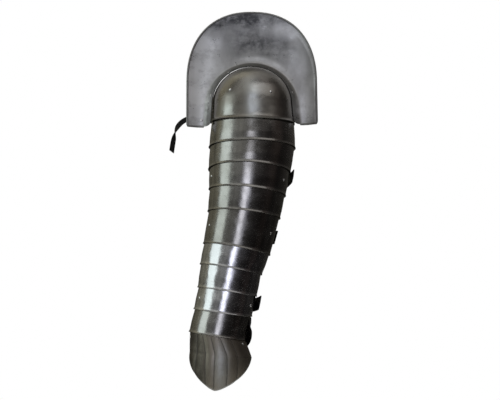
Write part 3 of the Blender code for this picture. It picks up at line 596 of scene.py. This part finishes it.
def collarArch(radius, depth, turn):
    # a half circle of the radius, carried on down by straight legs
    leg = shield["collarLeg"]
    side = np.sign(turn)
    down = np.clip((np.abs(turn) - 1 + leg) / leg, 0, 1)
    angle = np.clip(math.pi / 2 * turn / (1 - leg), -math.pi / 2, math.pi / 2)
    x = shieldCentre[0] + radius * np.sin(angle) + side * shield["splay"] * down
    z = shieldCentre[2] + radius * np.cos(angle) - (shield["drop"] - side * shield["slant"]) * down
    return np.stack(np.broadcast_arrays(x, depth, z), axis=-1)


def shieldEdge(turn):
    # a superellipse |x/a|^2.3 + |z/b|^2.3 = 1 over straight sides
    leg, power = shield["leg"], 2 / shield["curve"]
    side = np.sign(turn)
    down = np.clip((np.abs(turn) - 1 + leg) / leg, 0, 1)
    angle = np.clip(math.pi / 2 * np.abs(turn) / (1 - leg), 0, math.pi / 2)
    x = shieldCentre[0] + side * shield["halfWidth"] * np.sin(angle) ** power
    up = shield["rise"] * np.maximum(np.cos(angle), 0) ** power
    foot = shield["shoulder"] + shield["drop"] - side * shield["slant"]
    z = shieldCentre[2] + shield["shoulder"] + up - foot * down
    return np.stack(np.broadcast_arrays(x, 0 * x, z), axis=-1)


def seated(points):
    # the shield leans a little in its own plane
    c, s = math.cos(shield["lean"]), math.sin(shield["lean"])
    p = points - shieldCentre
    return np.stack([c * p[..., 0] + s * p[..., 2], p[..., 1], -s * p[..., 0] + c * p[..., 2]], axis=-1) + shieldCentre


def shieldPoint(turn, share):
    # straight from the collar's foot to the outline, dished forward by dish * share^2
    rise = collarSection[-1][1] * shield["collarDepth"]
    inner = collarArch(shield["collar"] + shield["collarFlare"], rise, turn)
    point = inner + (shieldEdge(turn) - inner) * np.asarray(share)[..., None]
    point[..., 1] = rise - shield["dish"] * np.asarray(share) ** 2
    return seated(point)


def evenTurns(count):
    # turns spread so that the columns meet the outline at even distances
    turn = np.linspace(-1, 1, 4001)
    edge = shieldEdge(turn)
    length = runLength(edge)
    return np.interp(np.linspace(0, length[-1], count + 1), length, turn)


def makeShield():
    # the collar's section swept round the arch, straight rows from its foot to the outline, and a tube along the edge
    turn = evenTurns(shield["columns"])
    section = smoothPath(collarSection, shield["collarRows"])
    radius, depth = shield["collar"] + shield["collarFlare"] * section[:, :1], shield["collarDepth"] * section[:, 1:]
    collarRows = seated(collarArch(radius, depth, turn[None, :]))
    share = np.linspace(0, 1, shield["plateRows"] + 1)[1:]
    points = np.concatenate([collarRows, shieldPoint(turn[None, :], share[:, None])])
    near = np.linspace(0, 1, len(section))

    def overRows(onCollar, onPlate):
        # one value for each row, the same all the way round
        return np.concatenate([onCollar, onPlate])[:, None] + 0 * turn

    def band(at, width):
        # exp(-((share - at) / width)^2) on the plate, nothing on the collar
        return overRows(0 * near, np.exp(-((share - at) / width) ** 2))

    mark = shieldMarks
    # painted shade over the collar, fading out at its foot, and at its lip; painted highlights in an arc round the
    # collar and inside the rim; patches of painted highlight and shade
    edgeLightShade = overRows(np.clip((1.0 - near) / mark["footFade"], 0, 1), 0 * share)
    lip = overRows(np.clip(1 - near / mark["lipShade"], 0, 1), 0 * share)
    arc = band(mark["arcAt"], mark["arcWidth"]) * np.exp(-((turn - mark["arcTurn"]) / mark["arcSpan"]) ** 4)
    border = np.clip((np.abs(turn) - mark["borderFrom"]) * 5, 0, mark["border"])
    border = band(mark["borderAt"], mark["borderWidth"]) * border
    sheen = np.maximum(np.maximum(patches(points, shieldSheen), mark["arc"] * arc), border)
    shade = patches(points, shieldShade) * (1 - arc) * (1 - border)
    marks = {"edgeLightShade": edgeLightShade, "sheen": sheen, "shade": shade, "recessShadeMask": lip}
    mesh = fillMesh("shoulder_flange_steel", points, gridFaces(len(points), len(turn), flip=True), marks=marks)
    plate = addPiece("shoulder_flange_steel", mesh, shieldSteel, ["shoulder_flange"])
    thicken(plate, steel["plate"], 0, steel["edgeRound"])
    foot = np.linspace(0, 0.97, 8)  # the roll also goes along both feet, nearly to the collar
    route = np.concatenate([
        shieldPoint(np.full(8, -1.0), foot), shieldPoint(turn[2:-2], np.ones(len(turn) - 4)),
        shieldPoint(np.full(8, 1.0), foot[::-1]),
    ])
    rim = tubeMesh("shoulder_flange_roll", smoothPath(route, 240), shield["rim"], 14)
    # the roll takes part of the painted edge shade
    attribute = rim.attributes.new("edgeLightShade", "FLOAT", "POINT")
    attribute.data.foreach_set("value", np.full(len(rim.vertices), mark["rollShade"], np.float32))
    addPiece("shoulder_flange_roll", rim, shieldSteel, ["shoulder_flange"])


makeShield()
print("shield made")


# the hand plate: flat panels between creases that fan out to the point
# each pair is a line's angle round the wrist and round the lower edge, in degrees
creaseAngles = np.array([(-44, -50), (-30, -22), (-12, -3), (7, 24), (28, 44)], float)
leftFacets = [(-92, -92), (-81, -81), (-69, -71), (-57, -61)]
rightFacets = [(40, 52), (54, 62), (67, 72), (80, 82), (92, 92)]
handRows = {"tuck": 4, "body": 45, "perFacet": 8}


def handColumns():
    # each fine column's angle round the wrist and round the lower edge, and how near a crease it is
    middles = (creaseAngles[:-1] + creaseAngles[1:]) / 2
    inner = np.empty((2 * len(creaseAngles) - 1, 2))
    inner[0::2], inner[1::2] = creaseAngles, middles
    coarse = np.concatenate([leftFacets, inner, rightFacets])
    bulge = np.ones(len(coarse))
    bulge[len(leftFacets):len(leftFacets) + len(inner):2] = 0
    at = np.linspace(0, len(coarse) - 1, (len(coarse) - 1) * handRows["perFacet"] + 1)
    index = np.arange(len(coarse))
    full = np.sin(np.interp(at, index, bulge) * math.pi / 2)
    return np.radians(np.interp(at, index, coarse[:, 0])), np.radians(np.interp(at, index, coarse[:, 1])), full


def handReach(angle):
    # corner + (length - corner) (1 - |angle / wrap|^1.5)
    corner = drops[lastRing]
    return corner + (hand["length"] - corner) * (1 - (np.abs(angle) / hand["wrap"]) ** hand["fullness"])


def fluteSwell(share):
    # how far a facet's middle stands out: flute * sin(pi * (0.15 + 0.6 share))
    return hand["flute"] * np.sin(math.pi * np.minimum(1.0, 0.15 + share * 0.6))


handSheen = np.array([(-0.034, -0.590, 0.030, 0.022, 1.6), (-0.056, -0.567, 0.011, 0.040, 0.62)])  # painted highlights on the lower edge and on the middle facets
handMarks = {
    # painted highlight along the lower edge over that share; painted shade along the creases at that strength and width
    "edgeHighlightShare": 0.03, "crease": 0.8, "creaseWidth": 0.25,
    "shade": 0.6, "shadeFrom": -8, "shadeFade": 24,  # the painted shade on the left side starts at that many degrees and fades in
}


def makeHand():
    # rows run from under the last lame to the lower edge, where each column ends at its own length
    above, below, full = handColumns()
    over = steel["overlap"] / drops[lastRing - 1]
    inset = hollow[lastRing] + steel["gap"] / 2
    tuckRows = handRows["tuck"]
    tuck = np.linspace(1 - over, 1, tuckRows + 1)[:-1, None]
    top = skin(np.full((tuckRows, 1), lastRing - 1), tuck, above[None, :], -inset)
    share = np.linspace(0, 1, handRows["body"])[:, None]
    angle = above + (below - above) * share
    down = share * handReach(below) / drops[lastRing]
    offset = fluteSwell(share) * full - inset * (1 - share)
    body = skin(np.full(down.shape, lastRing), np.minimum(1, down), angle, offset)
    # below the last ring it goes straight on, and curls in by curl * beyond^2 / length
    beyond = np.maximum(0, down - 1) * drops[lastRing]
    tilt = arm["tilt"][lastRing]
    body += np.array([-math.sin(tilt), 0, -math.cos(tilt)]) * beyond[..., None]
    outward = np.stack([np.sin(angle), -np.cos(angle), 0 * angle], axis=-1)
    body -= outward * (hand["curl"] * beyond**2 / hand["length"])[..., None]
    points = np.concatenate([top, body])
    mark = handMarks
    lower = np.clip((share[:, 0] - 1) / mark["edgeHighlightShare"] + 1, 0, 1)
    edgeLightShade = np.concatenate([np.zeros(tuckRows), lower])[:, None] + 0 * above
    along = np.clip((1 - np.abs(np.linspace(-0.1, 1, len(points)) - 0.5) / 0.5) * 8, 0, 1)  # the creases' painted shade fades at both ends
    recessShadeMask = mark["crease"] * np.clip(1 - full / mark["creaseWidth"], 0, 1)[None, :] * along[:, None]
    leftward = np.broadcast_to(below, points.shape[:2])
    shade = np.clip((math.radians(mark["shadeFrom"]) - leftward) / math.radians(mark["shadeFade"]), 0, 1)
    sheen = np.maximum(edgeLightShade * patches(points, handSheen[:1]), patches(points, handSheen[1:]))
    marks = {"edgeLightShade": edgeLightShade, "recessShadeMask": recessShadeMask, "shade": mark["shade"] * shade, "sheen": sheen}
    mesh = fillMesh("hand_plate_steel", points, gridFaces(len(points), len(above)), marks=marks)
    piece = addPiece("hand_plate_steel", mesh, handSteel, ["hand_plate"])
    return thicken(piece, steel["plate"], -1, steel["edgeRound"])


makeHand()
print("hand plate made")


# leathers and straps
stripRows = np.linspace(-0.5, 0.5, 9)  # places across a strip, as shares of its width


def leatherPiece(name, points, uv, rub, node):
    # a grid of points thickened to both sides, with its rubbed edges marked
    mesh = fillMesh(name, points, gridFaces(*points.shape[:2]), uv, {"rub": rub})
    piece = addPiece(name, mesh, blackLeather, [node])
    return thicken(piece, leather["thick"], 0, leather["edgeRound"])


def stripPiece(name, points, middles, width, node):
    # a strip's UV map runs along its middle line and across its width; its ends and long edges are rubbed
    length = runLength(middles)
    uv = np.stack(np.broadcast_arrays(length[:, None], width[:, None] * stripRows[None, :]), axis=-1)
    ends = np.clip(1 - np.minimum(length, length[-1] - length) / 0.002, 0, 1)
    rub = np.maximum((np.abs(stripRows) > 0.45)[None, :] * 1.0, ends[:, None])
    return leatherPiece(name, points, uv, rub, node)


def ribbonPiece(name, middles, across, node, slant=None):
    # middle + across * share of the width, at each point of the path
    points = middles[:, None] + across[:, None] * stripRows[None, :, None]
    if slant is not None:
        points = points + slant[:, None] * stripRows[None, :, None]
    return stripPiece(name, points, middles, np.linalg.norm(across, axis=1), node)


def makeInnerLeather(side, turn):
    # a strip down the inside of the plates, its width spread as an angle round the arm
    stops = [(0, -0.72), (0, -0.36), (0, 0.0)]
    for section in range(1, lastRing):
        stops += [(section - 1, 1 - steel["overlap"] / drops[section - 1]), (section, 0.0)]
    stops += [(lastRing - 1, 1 - steel["overlap"] / drops[lastRing - 1]), (lastRing, 0.0)]
    inside = steel["dome"] - steel["plate"] - steel["gap"] - 2 * hollow[0]
    knots = []
    for row, (section, share) in enumerate(stops):
        depth = steel["plate"] + steel["gap"] + hollow[section] * (2 if row >= len(stops) - 2 else 1)
        line = []
        for column in range(3):
            angle = math.radians(turn) + (column - 1) * leather["innerWidth"] / 2 / arm["depth"][section]
            away = depth
            if share < 0:
                free = skin(section, share, angle, 0.0)
                above = free[2] - domeCentre
                away = max(depth, math.hypot(free[0], free[1]) - math.sqrt(inside**2 - above**2))
            line.append(skin(section, share, angle, -away - leather["thick"] / 2))
        knots.append(line)
    knots = np.array(knots)
    left, middle, right = (smoothPath(knots[:, column], 150) for column in range(3))
    name = f"inner_leather_{side}"
    # the strip bows round the arm: its middle stands out from the straight line between its edges
    rows = np.linspace(-1, 1, 9)[None, :, None]
    straight = (left[:, None] * (1 - rows) + right[:, None] * (1 + rows)) / 2
    bow = (middle - (left + right) / 2)[:, None] * (1 - rows**2)
    points = straight + bow
    length = runLength(middle)
    uv = np.stack(np.broadcast_arrays(rows[..., 0] * leather["innerWidth"] / 2, -length[:, None]), axis=-1)
    rub = (np.abs(rows[..., 0]) > 0.9) * 1.0 + 0 * length[:, None]
    return leatherPiece(name + "_hide", points, uv, rub, name)


for side, (turn, slope) in capRivets.items():
    makeInnerLeather(side, turn)
print("inner leathers made")


def strapLine(section, share):
    # a strap's middle line by length: an ellipse inside the plate, flattened round the open back
    ring = {key: arm[key][section] + (arm[key][section + 1] - arm[key][section]) * share for key in arm}
    taper = (arm["width"][section] - arm["width"][section + 1]) / drops[section]
    up = np.array([(arm["centre"][section] - arm["centre"][section + 1]) / drops[section], 0, 1])
    depth = steel["plate"] + steel["gap"] + hollow[section] + leather["thick"] / 2
    if section == lastRing:
        depth += hollow[section] + 2 * steel["gap"]
    angles = np.linspace(0, 2 * math.pi, 1441)
    wrap, openHalf = steel["wrap"], math.pi - steel["wrap"]
    back = np.clip((angles - wrap) / openHalf, 0, None) * np.clip((2 * math.pi - wrap - angles) / openHalf, 0, None)
    ease = smoothStep(np.clip(back, 0, 1))
    across = (ring["width"] - depth) * np.sin(angles)
    away = -(ring["depth"] - depth) * np.cos(angles) * (1 - (1 - leather["flat"]) * ease)
    lengths = np.concatenate([[0], np.cumsum(np.hypot(np.diff(across), np.diff(away)))])
    stations = lengths - np.interp(buckle["angle"], angles, lengths)
    slopeX, slopeY = np.gradient(across, stations), np.gradient(away, stations)
    lean = np.array([math.cos(ring["tilt"]), 0, -math.sin(ring["tilt"])])
    start = np.array([ring["centre"], 0, ring["height"]])

    def place(at, standOff, wide):
        # the line's point at a distance, moved out along its normal and up the arm
        at, standOff, wide = np.broadcast_arrays(*(np.asarray(v, float) for v in (at, standOff, wide)))
        runX, runY = np.interp(at, stations, slopeX), np.interp(at, stations, slopeY)
        out = (standOff + taper * wide) / np.hypot(runX, runY)
        x = np.interp(at, stations, across) + out * runY
        y = np.interp(at, stations, away) - out * runX
        return start + x[..., None] * lean + y[..., None] * np.array([0, 1, 0]) + wide[..., None] * up

    return (lambda angle: float(np.interp(angle, angles, stations))), place


# section and share down it; degrees of the left and right rivet; the tail's length, lift and rise in strap widths
strapRows = {
    "arm_lame_3": (3, 0.47, 67, 62, 1.66, 0.46, 0.72),
    "arm_lame_5": (5, 0.47, 62, 61, 1.05, 0.30, 0.00),
    "arm_lame_8": (8, 0.47, 59, 63, 1.60, 0.45, 0.28),
    "hand_plate": (lastRing, 0.24, 72, 60, 1.95, 0.02, 1.37),
}


def strapPiece(name, node, path, place, count, rising=None):
    # the path's stations, stand offs and climbs smoothed, then laid along the strap's line
    fine = smoothPath(path, count)
    middle = place(fine[:, 0], fine[:, 1], 0.0)
    across = place(fine[:, 0], fine[:, 1], 1.0) - middle
    width = leather["width"]
    if rising is None:
        return ribbonPiece(name, middle, -across * width, node)
    middle = middle + rising * fine[:, 2:]
    free = np.clip(4 * fine[:, 2:] / width, 0, 1)
    # only the upper half swings towards the direction of the climb
    upper = across + (rising - across) * free
    swung = np.where(stripRows[None, :, None] < 0, upper[:, None], across[:, None])
    points = middle[:, None] - swung * width * stripRows[None, :, None]
    return stripPiece(name, points, middle, np.full(len(middle), width), node)


def arcPoints(middle, radius, first, last, steps):
    # middle + radius (cos, sin) between two angles in degrees, with no climb
    angle = np.radians(np.linspace(first, last, steps + 1))
    return np.stack([middle[0] + radius * np.cos(angle), middle[1] + radius * np.sin(angle), 0 * angle], axis=1)


def flatRun(first, last, standOff, steps):
    # an even run between two stations at one stand off
    at = np.linspace(first, last, steps + 1)
    return np.stack([at, np.full(len(at), standOff), 0 * at], axis=1)


def makeStrap(owner):
    # the chape folds round the buckle's bar; the billet goes over its far side, then lifts off and rises as its tail
    section, share, left, right, tail, lift, rise = strapRows[owner]
    tag = owner.replace("arm_", "").replace("_plate", "")
    station, place = strapLine(section, share)
    thick, width, gap = leather["thick"], leather["width"], steel["gap"]
    loop = buckle["wire"] + 2 * gap + thick / 2
    layer = thick + gap
    bar, toe = -loop, buckle["wire"] + gap + thick / 2
    start = station(math.radians(right)) - leather["end"]
    finish = station(2 * math.pi - math.radians(left)) + leather["end"]
    back = buckle["foldBack"]
    chape = np.concatenate([
        [(start, 0, 0)], flatRun(start + 2 * leather["end"], 0, 0, 8), arcPoints((0, bar), loop, 60, -90, 5),
        [(-back / 6, -2 * loop, 0), (-back * 0.42, -layer, 0)], flatRun(-back * 0.6, -back, -layer, 2),
    ])
    strapPiece(f"{tag}_strap_chape_hide", f"{tag}_strap_chape", chape, place, 150)
    flat = np.linspace(0, 1, 5)
    reach = np.linspace(0, 1, 7)[1:]
    billet = np.concatenate([
        [(finish, 0, 0)], flatRun(finish - 2 * leather["end"], buckle["length"] + 2 * buckle["wire"], 0, 10),
        np.stack([(buckle["length"] - 2 * buckle["wire"]) * (1 - flat), layer * smoothStep(flat), 0 * flat], axis=1),
        np.stack([-tail * width * reach, layer + lift * width * reach**1.3, rise * width * reach**1.5], axis=1),
    ])
    lean = (arm["centre"][section - 1] - arm["centre"][section]) / drops[section - 1]
    strapPiece(f"{tag}_strap_billet_hide", f"{tag}_strap_billet", billet, place, 190, np.array([lean, 0, 1]))
    # the buckle: a rounded rectangle from the bar to the toe, its straight sides filled in with even steps
    half = width / 2 + buckle["wire"] + 6 * gap
    corner = buckle["corner"]
    corners = []
    for at, wide, turn in ((0, half, 90), (0, -half, 180), (buckle["length"], -half, 270), (buckle["length"], half, 0)):
        angle = np.radians(turn + np.linspace(0, 90, 7))
        x = at + (corner if at == 0 else -corner) + corner * np.cos(angle)
        y = wide - math.copysign(corner, wide) + corner * np.sin(angle)
        corners.append(np.stack([x, bar + (toe - bar) * x / buckle["length"], y], axis=1))
    outline = np.concatenate(corners)
    ring = place(outline[:, 0], outline[:, 1], outline[:, 2])
    dense = []
    for first, second in zip(ring, np.roll(ring, -1, 0)):
        count = max(1, int(np.linalg.norm(second - first) / 0.0012))
        dense.append(first + (second - first) * np.linspace(0, 1, count, endpoint=False)[:, None])
    wire = tubeMesh(f"{tag}_strap_buckle_wire", np.concatenate(dense), buckle["wire"], 14, closed=True)
    addPiece(f"{tag}_strap_buckle_wire", wire, brightSteel, [f"{tag}_strap_buckle"])
    # the prong: a ring round the bar, then straight on to rest on the toe
    ringRadius = buckle["wire"] + gap + buckle["prong"]
    top = toe + ringRadius
    shaft = [(along * buckle["length"], up * top, 0) for along, up in ((0.175, 0.6), (0.375, 0.97), (1.05, 1.0))]
    line = smoothPath(np.concatenate([arcPoints((0, bar), ringRadius, 290, 90, 6), shaft]), 40)
    prong = tubeMesh(f"{tag}_strap_prong_wire", place(line[:, 0], line[:, 1], 0.0), buckle["prong"], 12)
    addPiece(f"{tag}_strap_prong_wire", prong, brightSteel, [f"{tag}_strap_prong"])


for owner in strapRows:
    makeStrap(owner)
print("straps made")


# the tie behind the shield
tie = {
    "width": 0.0098, "length": 0.118, "turn": -0.955, "share": 0.12,
    "twist": math.radians(158), "twistFrom": 0.42, "twistSpan": 0.42,  # from and over which shares of its length
}
tieRoute = np.array([  # left, back and up, as shares of the length
    (-0.05, 0.00, 0.000), (0.08, 0.00, 0.015), (0.16, 0.00, 0.028), (0.240, 0.00, 0.026), (0.32, 0.00, -0.020),
    (0.385, -0.01, -0.095), (0.425, -0.02, -0.195), (0.450, -0.03, -0.310), (0.468, -0.04, -0.430),
    (0.482, -0.05, -0.547),
])


def makeTie():
    # a flat strip along the route, its width turning towards the front on the way down, its end cut on a slant
    middle = shieldPoint(np.array([tie["turn"]]), np.array([tie["share"]]))[0]
    start = middle + np.array([0, steel["plate"] / 2 + steel["gap"] + leather["thick"] / 2, 0])
    path = smoothPath(start + np.stack([-tieRoute[:, 0], tieRoute[:, 1], tieRoute[:, 2]], axis=1) * tie["length"], 70)
    forward = unit(np.gradient(path, axis=0))
    share = np.linspace(0, 1, len(path))
    twist = tie["twist"] * smoothStep(np.clip((share - tie["twistFrom"]) / tie["twistSpan"], 0, 1))[:, None]
    flat = unit(np.cross(forward, [0, 1, 0]))
    wide = flat * np.cos(twist) + np.cross(forward, flat) * np.sin(twist)
    slant = forward * tie["width"] * 0.45 * np.clip((share - 0.93) / 0.07, 0, 1)[:, None]
    ribbonPiece("shoulder_tie_hide", path - slant / 2, -wide * tie["width"], "shoulder_tie", slant)
    return middle


tieMiddle = makeTie()
print("tie made")


# rivets
def rivetMesh(name, seat, direction, grip):
    # a profile turned about the rivet's axis: a low domed head, its shank and a clenched tail
    size, gap = rivetSize, steel["gap"]
    dome = np.linspace(0, math.pi / 2, 9)
    head = np.stack([size["head"] * np.sin(dome), gap + size["rise"] * (0.16 + 0.84 * np.cos(dome))], axis=1)
    tail = np.stack([size["tail"] * np.cos(dome), -grip - gap - 0.6 * size["rise"] * np.sin(dome)], axis=1)
    profile = np.concatenate([
        head[1:], [(size["head"] * 0.97, gap), (size["shank"], gap), (size["shank"], -grip - gap)], tail[:-1],
    ])
    axis = np.asarray(direction, float) / np.linalg.norm(direction)
    across = unit(np.cross(axis, [0.21, 0.33, 0.92])[None, :])[0]
    other = np.cross(axis, across)
    count, rows = size["sides"], len(profile)
    angle = np.linspace(0, 2 * math.pi, count, endpoint=False)
    ring = across * np.cos(angle)[:, None] + other * np.sin(angle)[:, None]
    points = np.asarray(seat) + ring[None] * profile[:, :1, None] + axis * profile[:, 1:, None]
    poles = np.stack([seat + axis * head[0, 1], seat + axis * tail[-1, 1]])
    quads = gridFaces(rows, count, closedColumns=True)
    top = [(rows * count, k, (k + 1) % count) for k in range(count)]
    end = [(rows * count + 1, (rows - 1) * count + (k + 1) % count, (rows - 1) * count + k) for k in range(count)]
    return fillMesh(name, np.concatenate([points.reshape(-1, 3), poles]), quads, caps=top + end)


def addRivet(name, seat, direction, grip):
    # its normals are worked out again, as a turned profile can face inwards
    seat = np.asarray(seat, float)
    mesh = rivetMesh(name + "_bright", seat, direction, grip)
    form = bmesh.new()
    form.from_mesh(mesh)
    bmesh.ops.recalc_face_normals(form, faces=form.faces)
    form.to_mesh(mesh)
    form.free()
    addPiece(name + "_bright", mesh, brightSteel, [name])


def strapRivets(owner):
    # both rivets go square through the plate and the strap under it; the grip is the sum of those layers and gaps
    section, share, left, right = strapRows[owner][:4]
    tag = owner.replace("arm_", "").replace("_plate", "")
    plate, gap = steel["plate"], steel["gap"]
    if owner == "hand_plate":
        part = share * drops[section] / handReach(math.radians(left))
        outer = fluteSwell(part) - (hollow[lastRing] + gap / 2) * (1 - part)
    else:
        outer = (plate + gap) * share / (1 - (steel["overlap"] + steel["lipHeight"]) / drops[section])
    grip = outer + plate + gap + hollow[section] + leather["thick"]
    grip += leather["end"] ** 2 / (2 * arm["depth"][section + 1]) + gap / 2
    if section == lastRing:
        grip += hollow[section] + 2 * gap
    for side, degrees in (("left", -left), ("right", right)):
        at = (section, share, math.radians(degrees), outer)
        addRivet(f"{tag}_rivet_{side}", skin(*at), skinNormal(*at), grip)


for owner in strapRows:
    strapRivets(owner)

# the cap's rivets stand on the dome, square to it
for side, (turn, down) in capRivets.items():
    angle, slope = math.radians(turn), math.radians(down)
    out = np.array([math.sin(angle) * math.sin(slope), -math.cos(angle) * math.sin(slope), math.cos(slope)])
    capGrip = steel["dome"] - arm["width"][0] + steel["plate"] + 2 * steel["gap"] + leather["thick"]
    addRivet(f"cap_rivet_{side}", out * steel["dome"] + np.array([0, 0, domeCentre]), out, capGrip)

# the collar's rivets stand on one straight of its section and reach in to just clear of the dome
collarRivets = {"right": 20, "upper_left": 123, "left": 163}  # degrees round from the right
collarRivetShare = 0.85
for side, degrees in collarRivets.items():
    before, after = collarSection[1], collarSection[2]
    out, depth = before + (after - before) * collarRivetShare
    slope = math.atan2(shield["collarFlare"] * (after[0] - before[0]), shield["collarDepth"] * (after[1] - before[1]))
    angle = math.radians(degrees)
    around = np.array([math.cos(angle), 0, math.sin(angle)])
    middle = shieldCentre + around * (shield["collar"] + shield["collarFlare"] * out)
    middle[1] = shield["collarDepth"] * depth
    normal = around * math.cos(slope) - np.array([0, math.sin(slope), 0])
    seat = seated(middle) + normal * steel["plate"] / 2
    toCentre = seat - np.array([0, 0, domeCentre])
    reach = float(np.dot(normal, toCentre))
    inside = reach - math.sqrt(reach**2 - float(np.dot(toCentre, toCentre)) + (steel["dome"] - steel["plate"]) ** 2)
    addRivet(f"collar_rivet_{side}", seat, normal, inside + 2 * (steel["gap"] + hollow[0]))

addRivet("tie_rivet", tieMiddle - np.array([0, steel["plate"] / 2 + steel["gap"], 0]), (0, -1, 0),
         steel["plate"] + leather["thick"] + 2 * steel["gap"])
print("rivets made")


# floor, world, lights and camera
studio = {
    "floorHeight": -0.86, "floorRadius": 0.62, "floorSides": 96, "floorColour": (0.80, 0.80, 0.79), "floorRough": 0.9,
}
lights = {  # the steel mirrors these panels, so their places and sizes set its streaks
    "strip_light": {
        "place": (-0.13, -1.75, -0.31), "aim": (0, 0, -0.31), "size": (0.42, 1.12), "roll": 8,
        "power": 2.3, "colour": (0.86, 0.88, 1.0)},
    "strip_wide": {
        "place": (-0.05, -1.80, -0.38), "aim": (0, 0, -0.38), "size": (0.78, 1.00), "roll": 8,
        "power": 1.1, "colour": (0.80, 0.82, 1.0)},
    "window_light": {
        "place": (-1.22, -0.43, -0.12), "aim": (0, 0, -0.12), "size": (0.74, 1.30), "roll": 0,
        "power": 3.6, "colour": (0.89, 1.0, 0.98)},
    "back_light": {
        "place": (0.0, 1.7, 1.9), "aim": (0, 0, -0.25), "size": (1.4, 0.9), "roll": 0,
        "power": 16.0, "colour": (1.0, 0.99, 0.97)},
    "overhead_light": {
        "place": (0.0, 0.3, 2.1), "aim": (0, 0, -0.1), "size": (2.4, 1.8), "roll": 0,
        "power": 3.0, "colour": (1.0, 0.99, 0.97)},
    "right_high_light": {
        "place": (1.0, -1.6, 1.5), "aim": (0, 0, 0), "size": (2.6, 1.6), "roll": 0,
        "power": 6.8, "colour": (1.0, 0.99, 0.98)},
}


def addArea(name, look):
    # a rectangle of light at its place, facing its aim, then rolled about that line
    light = bpy.data.lights.new(name, "AREA")
    light.shape = "RECTANGLE"
    light.size, light.size_y = look["size"]
    light.energy = look["power"]
    light.color = look["colour"]
    lamp = bpy.data.objects.new(name, light)
    bpy.context.scene.collection.objects.link(lamp)
    lamp.location = look["place"]
    lamp.rotation_euler = (Vector(look["aim"]) - Vector(look["place"])).to_track_quat("-Z", "Y").to_euler()
    lamp.rotation_euler.rotate_axis("Z", -math.radians(look["roll"]))


for name, look in lights.items():
    addArea(name, look)

# a round pale floor
angles = np.linspace(0, 2 * math.pi, studio["floorSides"], endpoint=False)
disc = np.stack([np.cos(angles), np.sin(angles), 0 * angles], axis=1) * studio["floorRadius"]
disc[:, 2] = studio["floorHeight"]
floorMesh = bpy.data.meshes.new("pale_floor")
floorMesh.from_pydata(disc.tolist(), [], [list(range(studio["floorSides"]))])
floor = bpy.data.objects.new("pale_floor", floorMesh)
bpy.context.scene.collection.objects.link(floor)
floorMaterial, _, floorShader = newMaterial("paleFloor")
floorShader.inputs["Base Color"].default_value = (*studio["floorColour"], 1)
floorShader.inputs["Roughness"].default_value = studio["floorRough"]
floorMesh.materials.append(floorMaterial)

# the room that the steel mirrors: its tone goes round by the compass direction, a little by height
roomStops = (  # 0 is behind the object, 0.25 its left, 0.5 the camera's side, 0.75 its right
    (0.00, (0.05, 0.048, 0.040)), (0.12, (0.08, 0.076, 0.058)), (0.22, (0.11, 0.105, 0.080)),
    (0.30, (0.035, 0.035, 0.035)), (0.37, (0.15, 0.15, 0.145)), (0.44, (0.11, 0.11, 0.105)),
    (0.50, (0.085, 0.085, 0.085)), (0.56, (0.035, 0.033, 0.033)), (0.64, (0.014, 0.012, 0.012)),
    (0.71, (0.035, 0.028, 0.026)), (0.74, (0.012, 0.011, 0.011)), (0.86, (0.03, 0.028, 0.026)),
    (1.00, (0.05, 0.048, 0.040)),
)
roomLift = ((0.40, 0.6), (0.52, 1.0), (0.75, 3.2), (1.0, 4.0))  # brightness by height, 0.5 at the horizon
roomStreaks = {"scale": 55.0, "slant": 0.04, "stops": ((0.34, 0.45), (0.52, 0.95), (0.68, 1.9))}
world = bpy.data.worlds.new("studioWorld")
bpy.context.scene.world = world
world.use_nodes = True
room = world.node_tree
backdrop = room.nodes["Background"]
coords = addNode(room, "ShaderNodeTexCoord")
split = addNode(room, "ShaderNodeSeparateXYZ")
room.links.new(coords.outputs["Generated"], split.inputs[0])
compass = maths(room, "ARCTAN2", split.outputs["X"], split.outputs["Y"])
around = maths(room, "FRACT", maths(room, "MULTIPLY_ADD", compass, -1 / (2 * math.pi), 1.0))
tone = ramp(room, around, roomStops)
streakPlace = addNode(room, "ShaderNodeCombineXYZ")
room.links.new(around, streakPlace.inputs[0])
room.links.new(maths(room, "MULTIPLY", split.outputs["Z"], roomStreaks["slant"]), streakPlace.inputs[1])
streaks = addNode(room, "ShaderNodeTexNoise", {"Scale": roomStreaks["scale"], "Detail": 3.0, "Roughness": 0.6})
room.links.new(streakPlace.outputs[0], streaks.inputs["Vector"])
tone = mixColour(room, 1.0, tone, ramp(room, streaks.outputs["Fac"], roomStreaks["stops"]), "MULTIPLY")
height = maths(room, "MULTIPLY_ADD", split.outputs["Z"], 0.5, 0.5)
tone = mixColour(room, 1.0, tone, ramp(room, height, roomLift), "MULTIPLY")
path = addNode(room, "ShaderNodeLightPath")  # seen straight on, the room is plain white
tone = mixColour(room, path.outputs["Is Camera Ray"], tone, (1.0, 1.0, 1.0))
room.links.new(tone, backdrop.inputs["Color"])
backdrop.inputs["Strength"].default_value = 1.0

view = {"target": (-0.00475, 0, -0.2576), "elevation": -9.0, "distance": 1.6, "lens": 60.63}
rise = math.radians(view["elevation"])
camera = bpy.data.objects.new("camera", bpy.data.cameras.new("camera"))
bpy.context.scene.collection.objects.link(camera)
camera.data.sensor_width = 36
camera.data.lens = view["lens"]
away = Vector((0, -math.cos(rise), math.sin(rise)))
camera.location = Vector(view["target"]) + away * view["distance"]
camera.rotation_euler = (-away).to_track_quat("-Z", "Y").to_euler()
bpy.context.scene.camera = camera
bpy.context.scene.view_settings.view_transform = "Standard"
print("studio made")
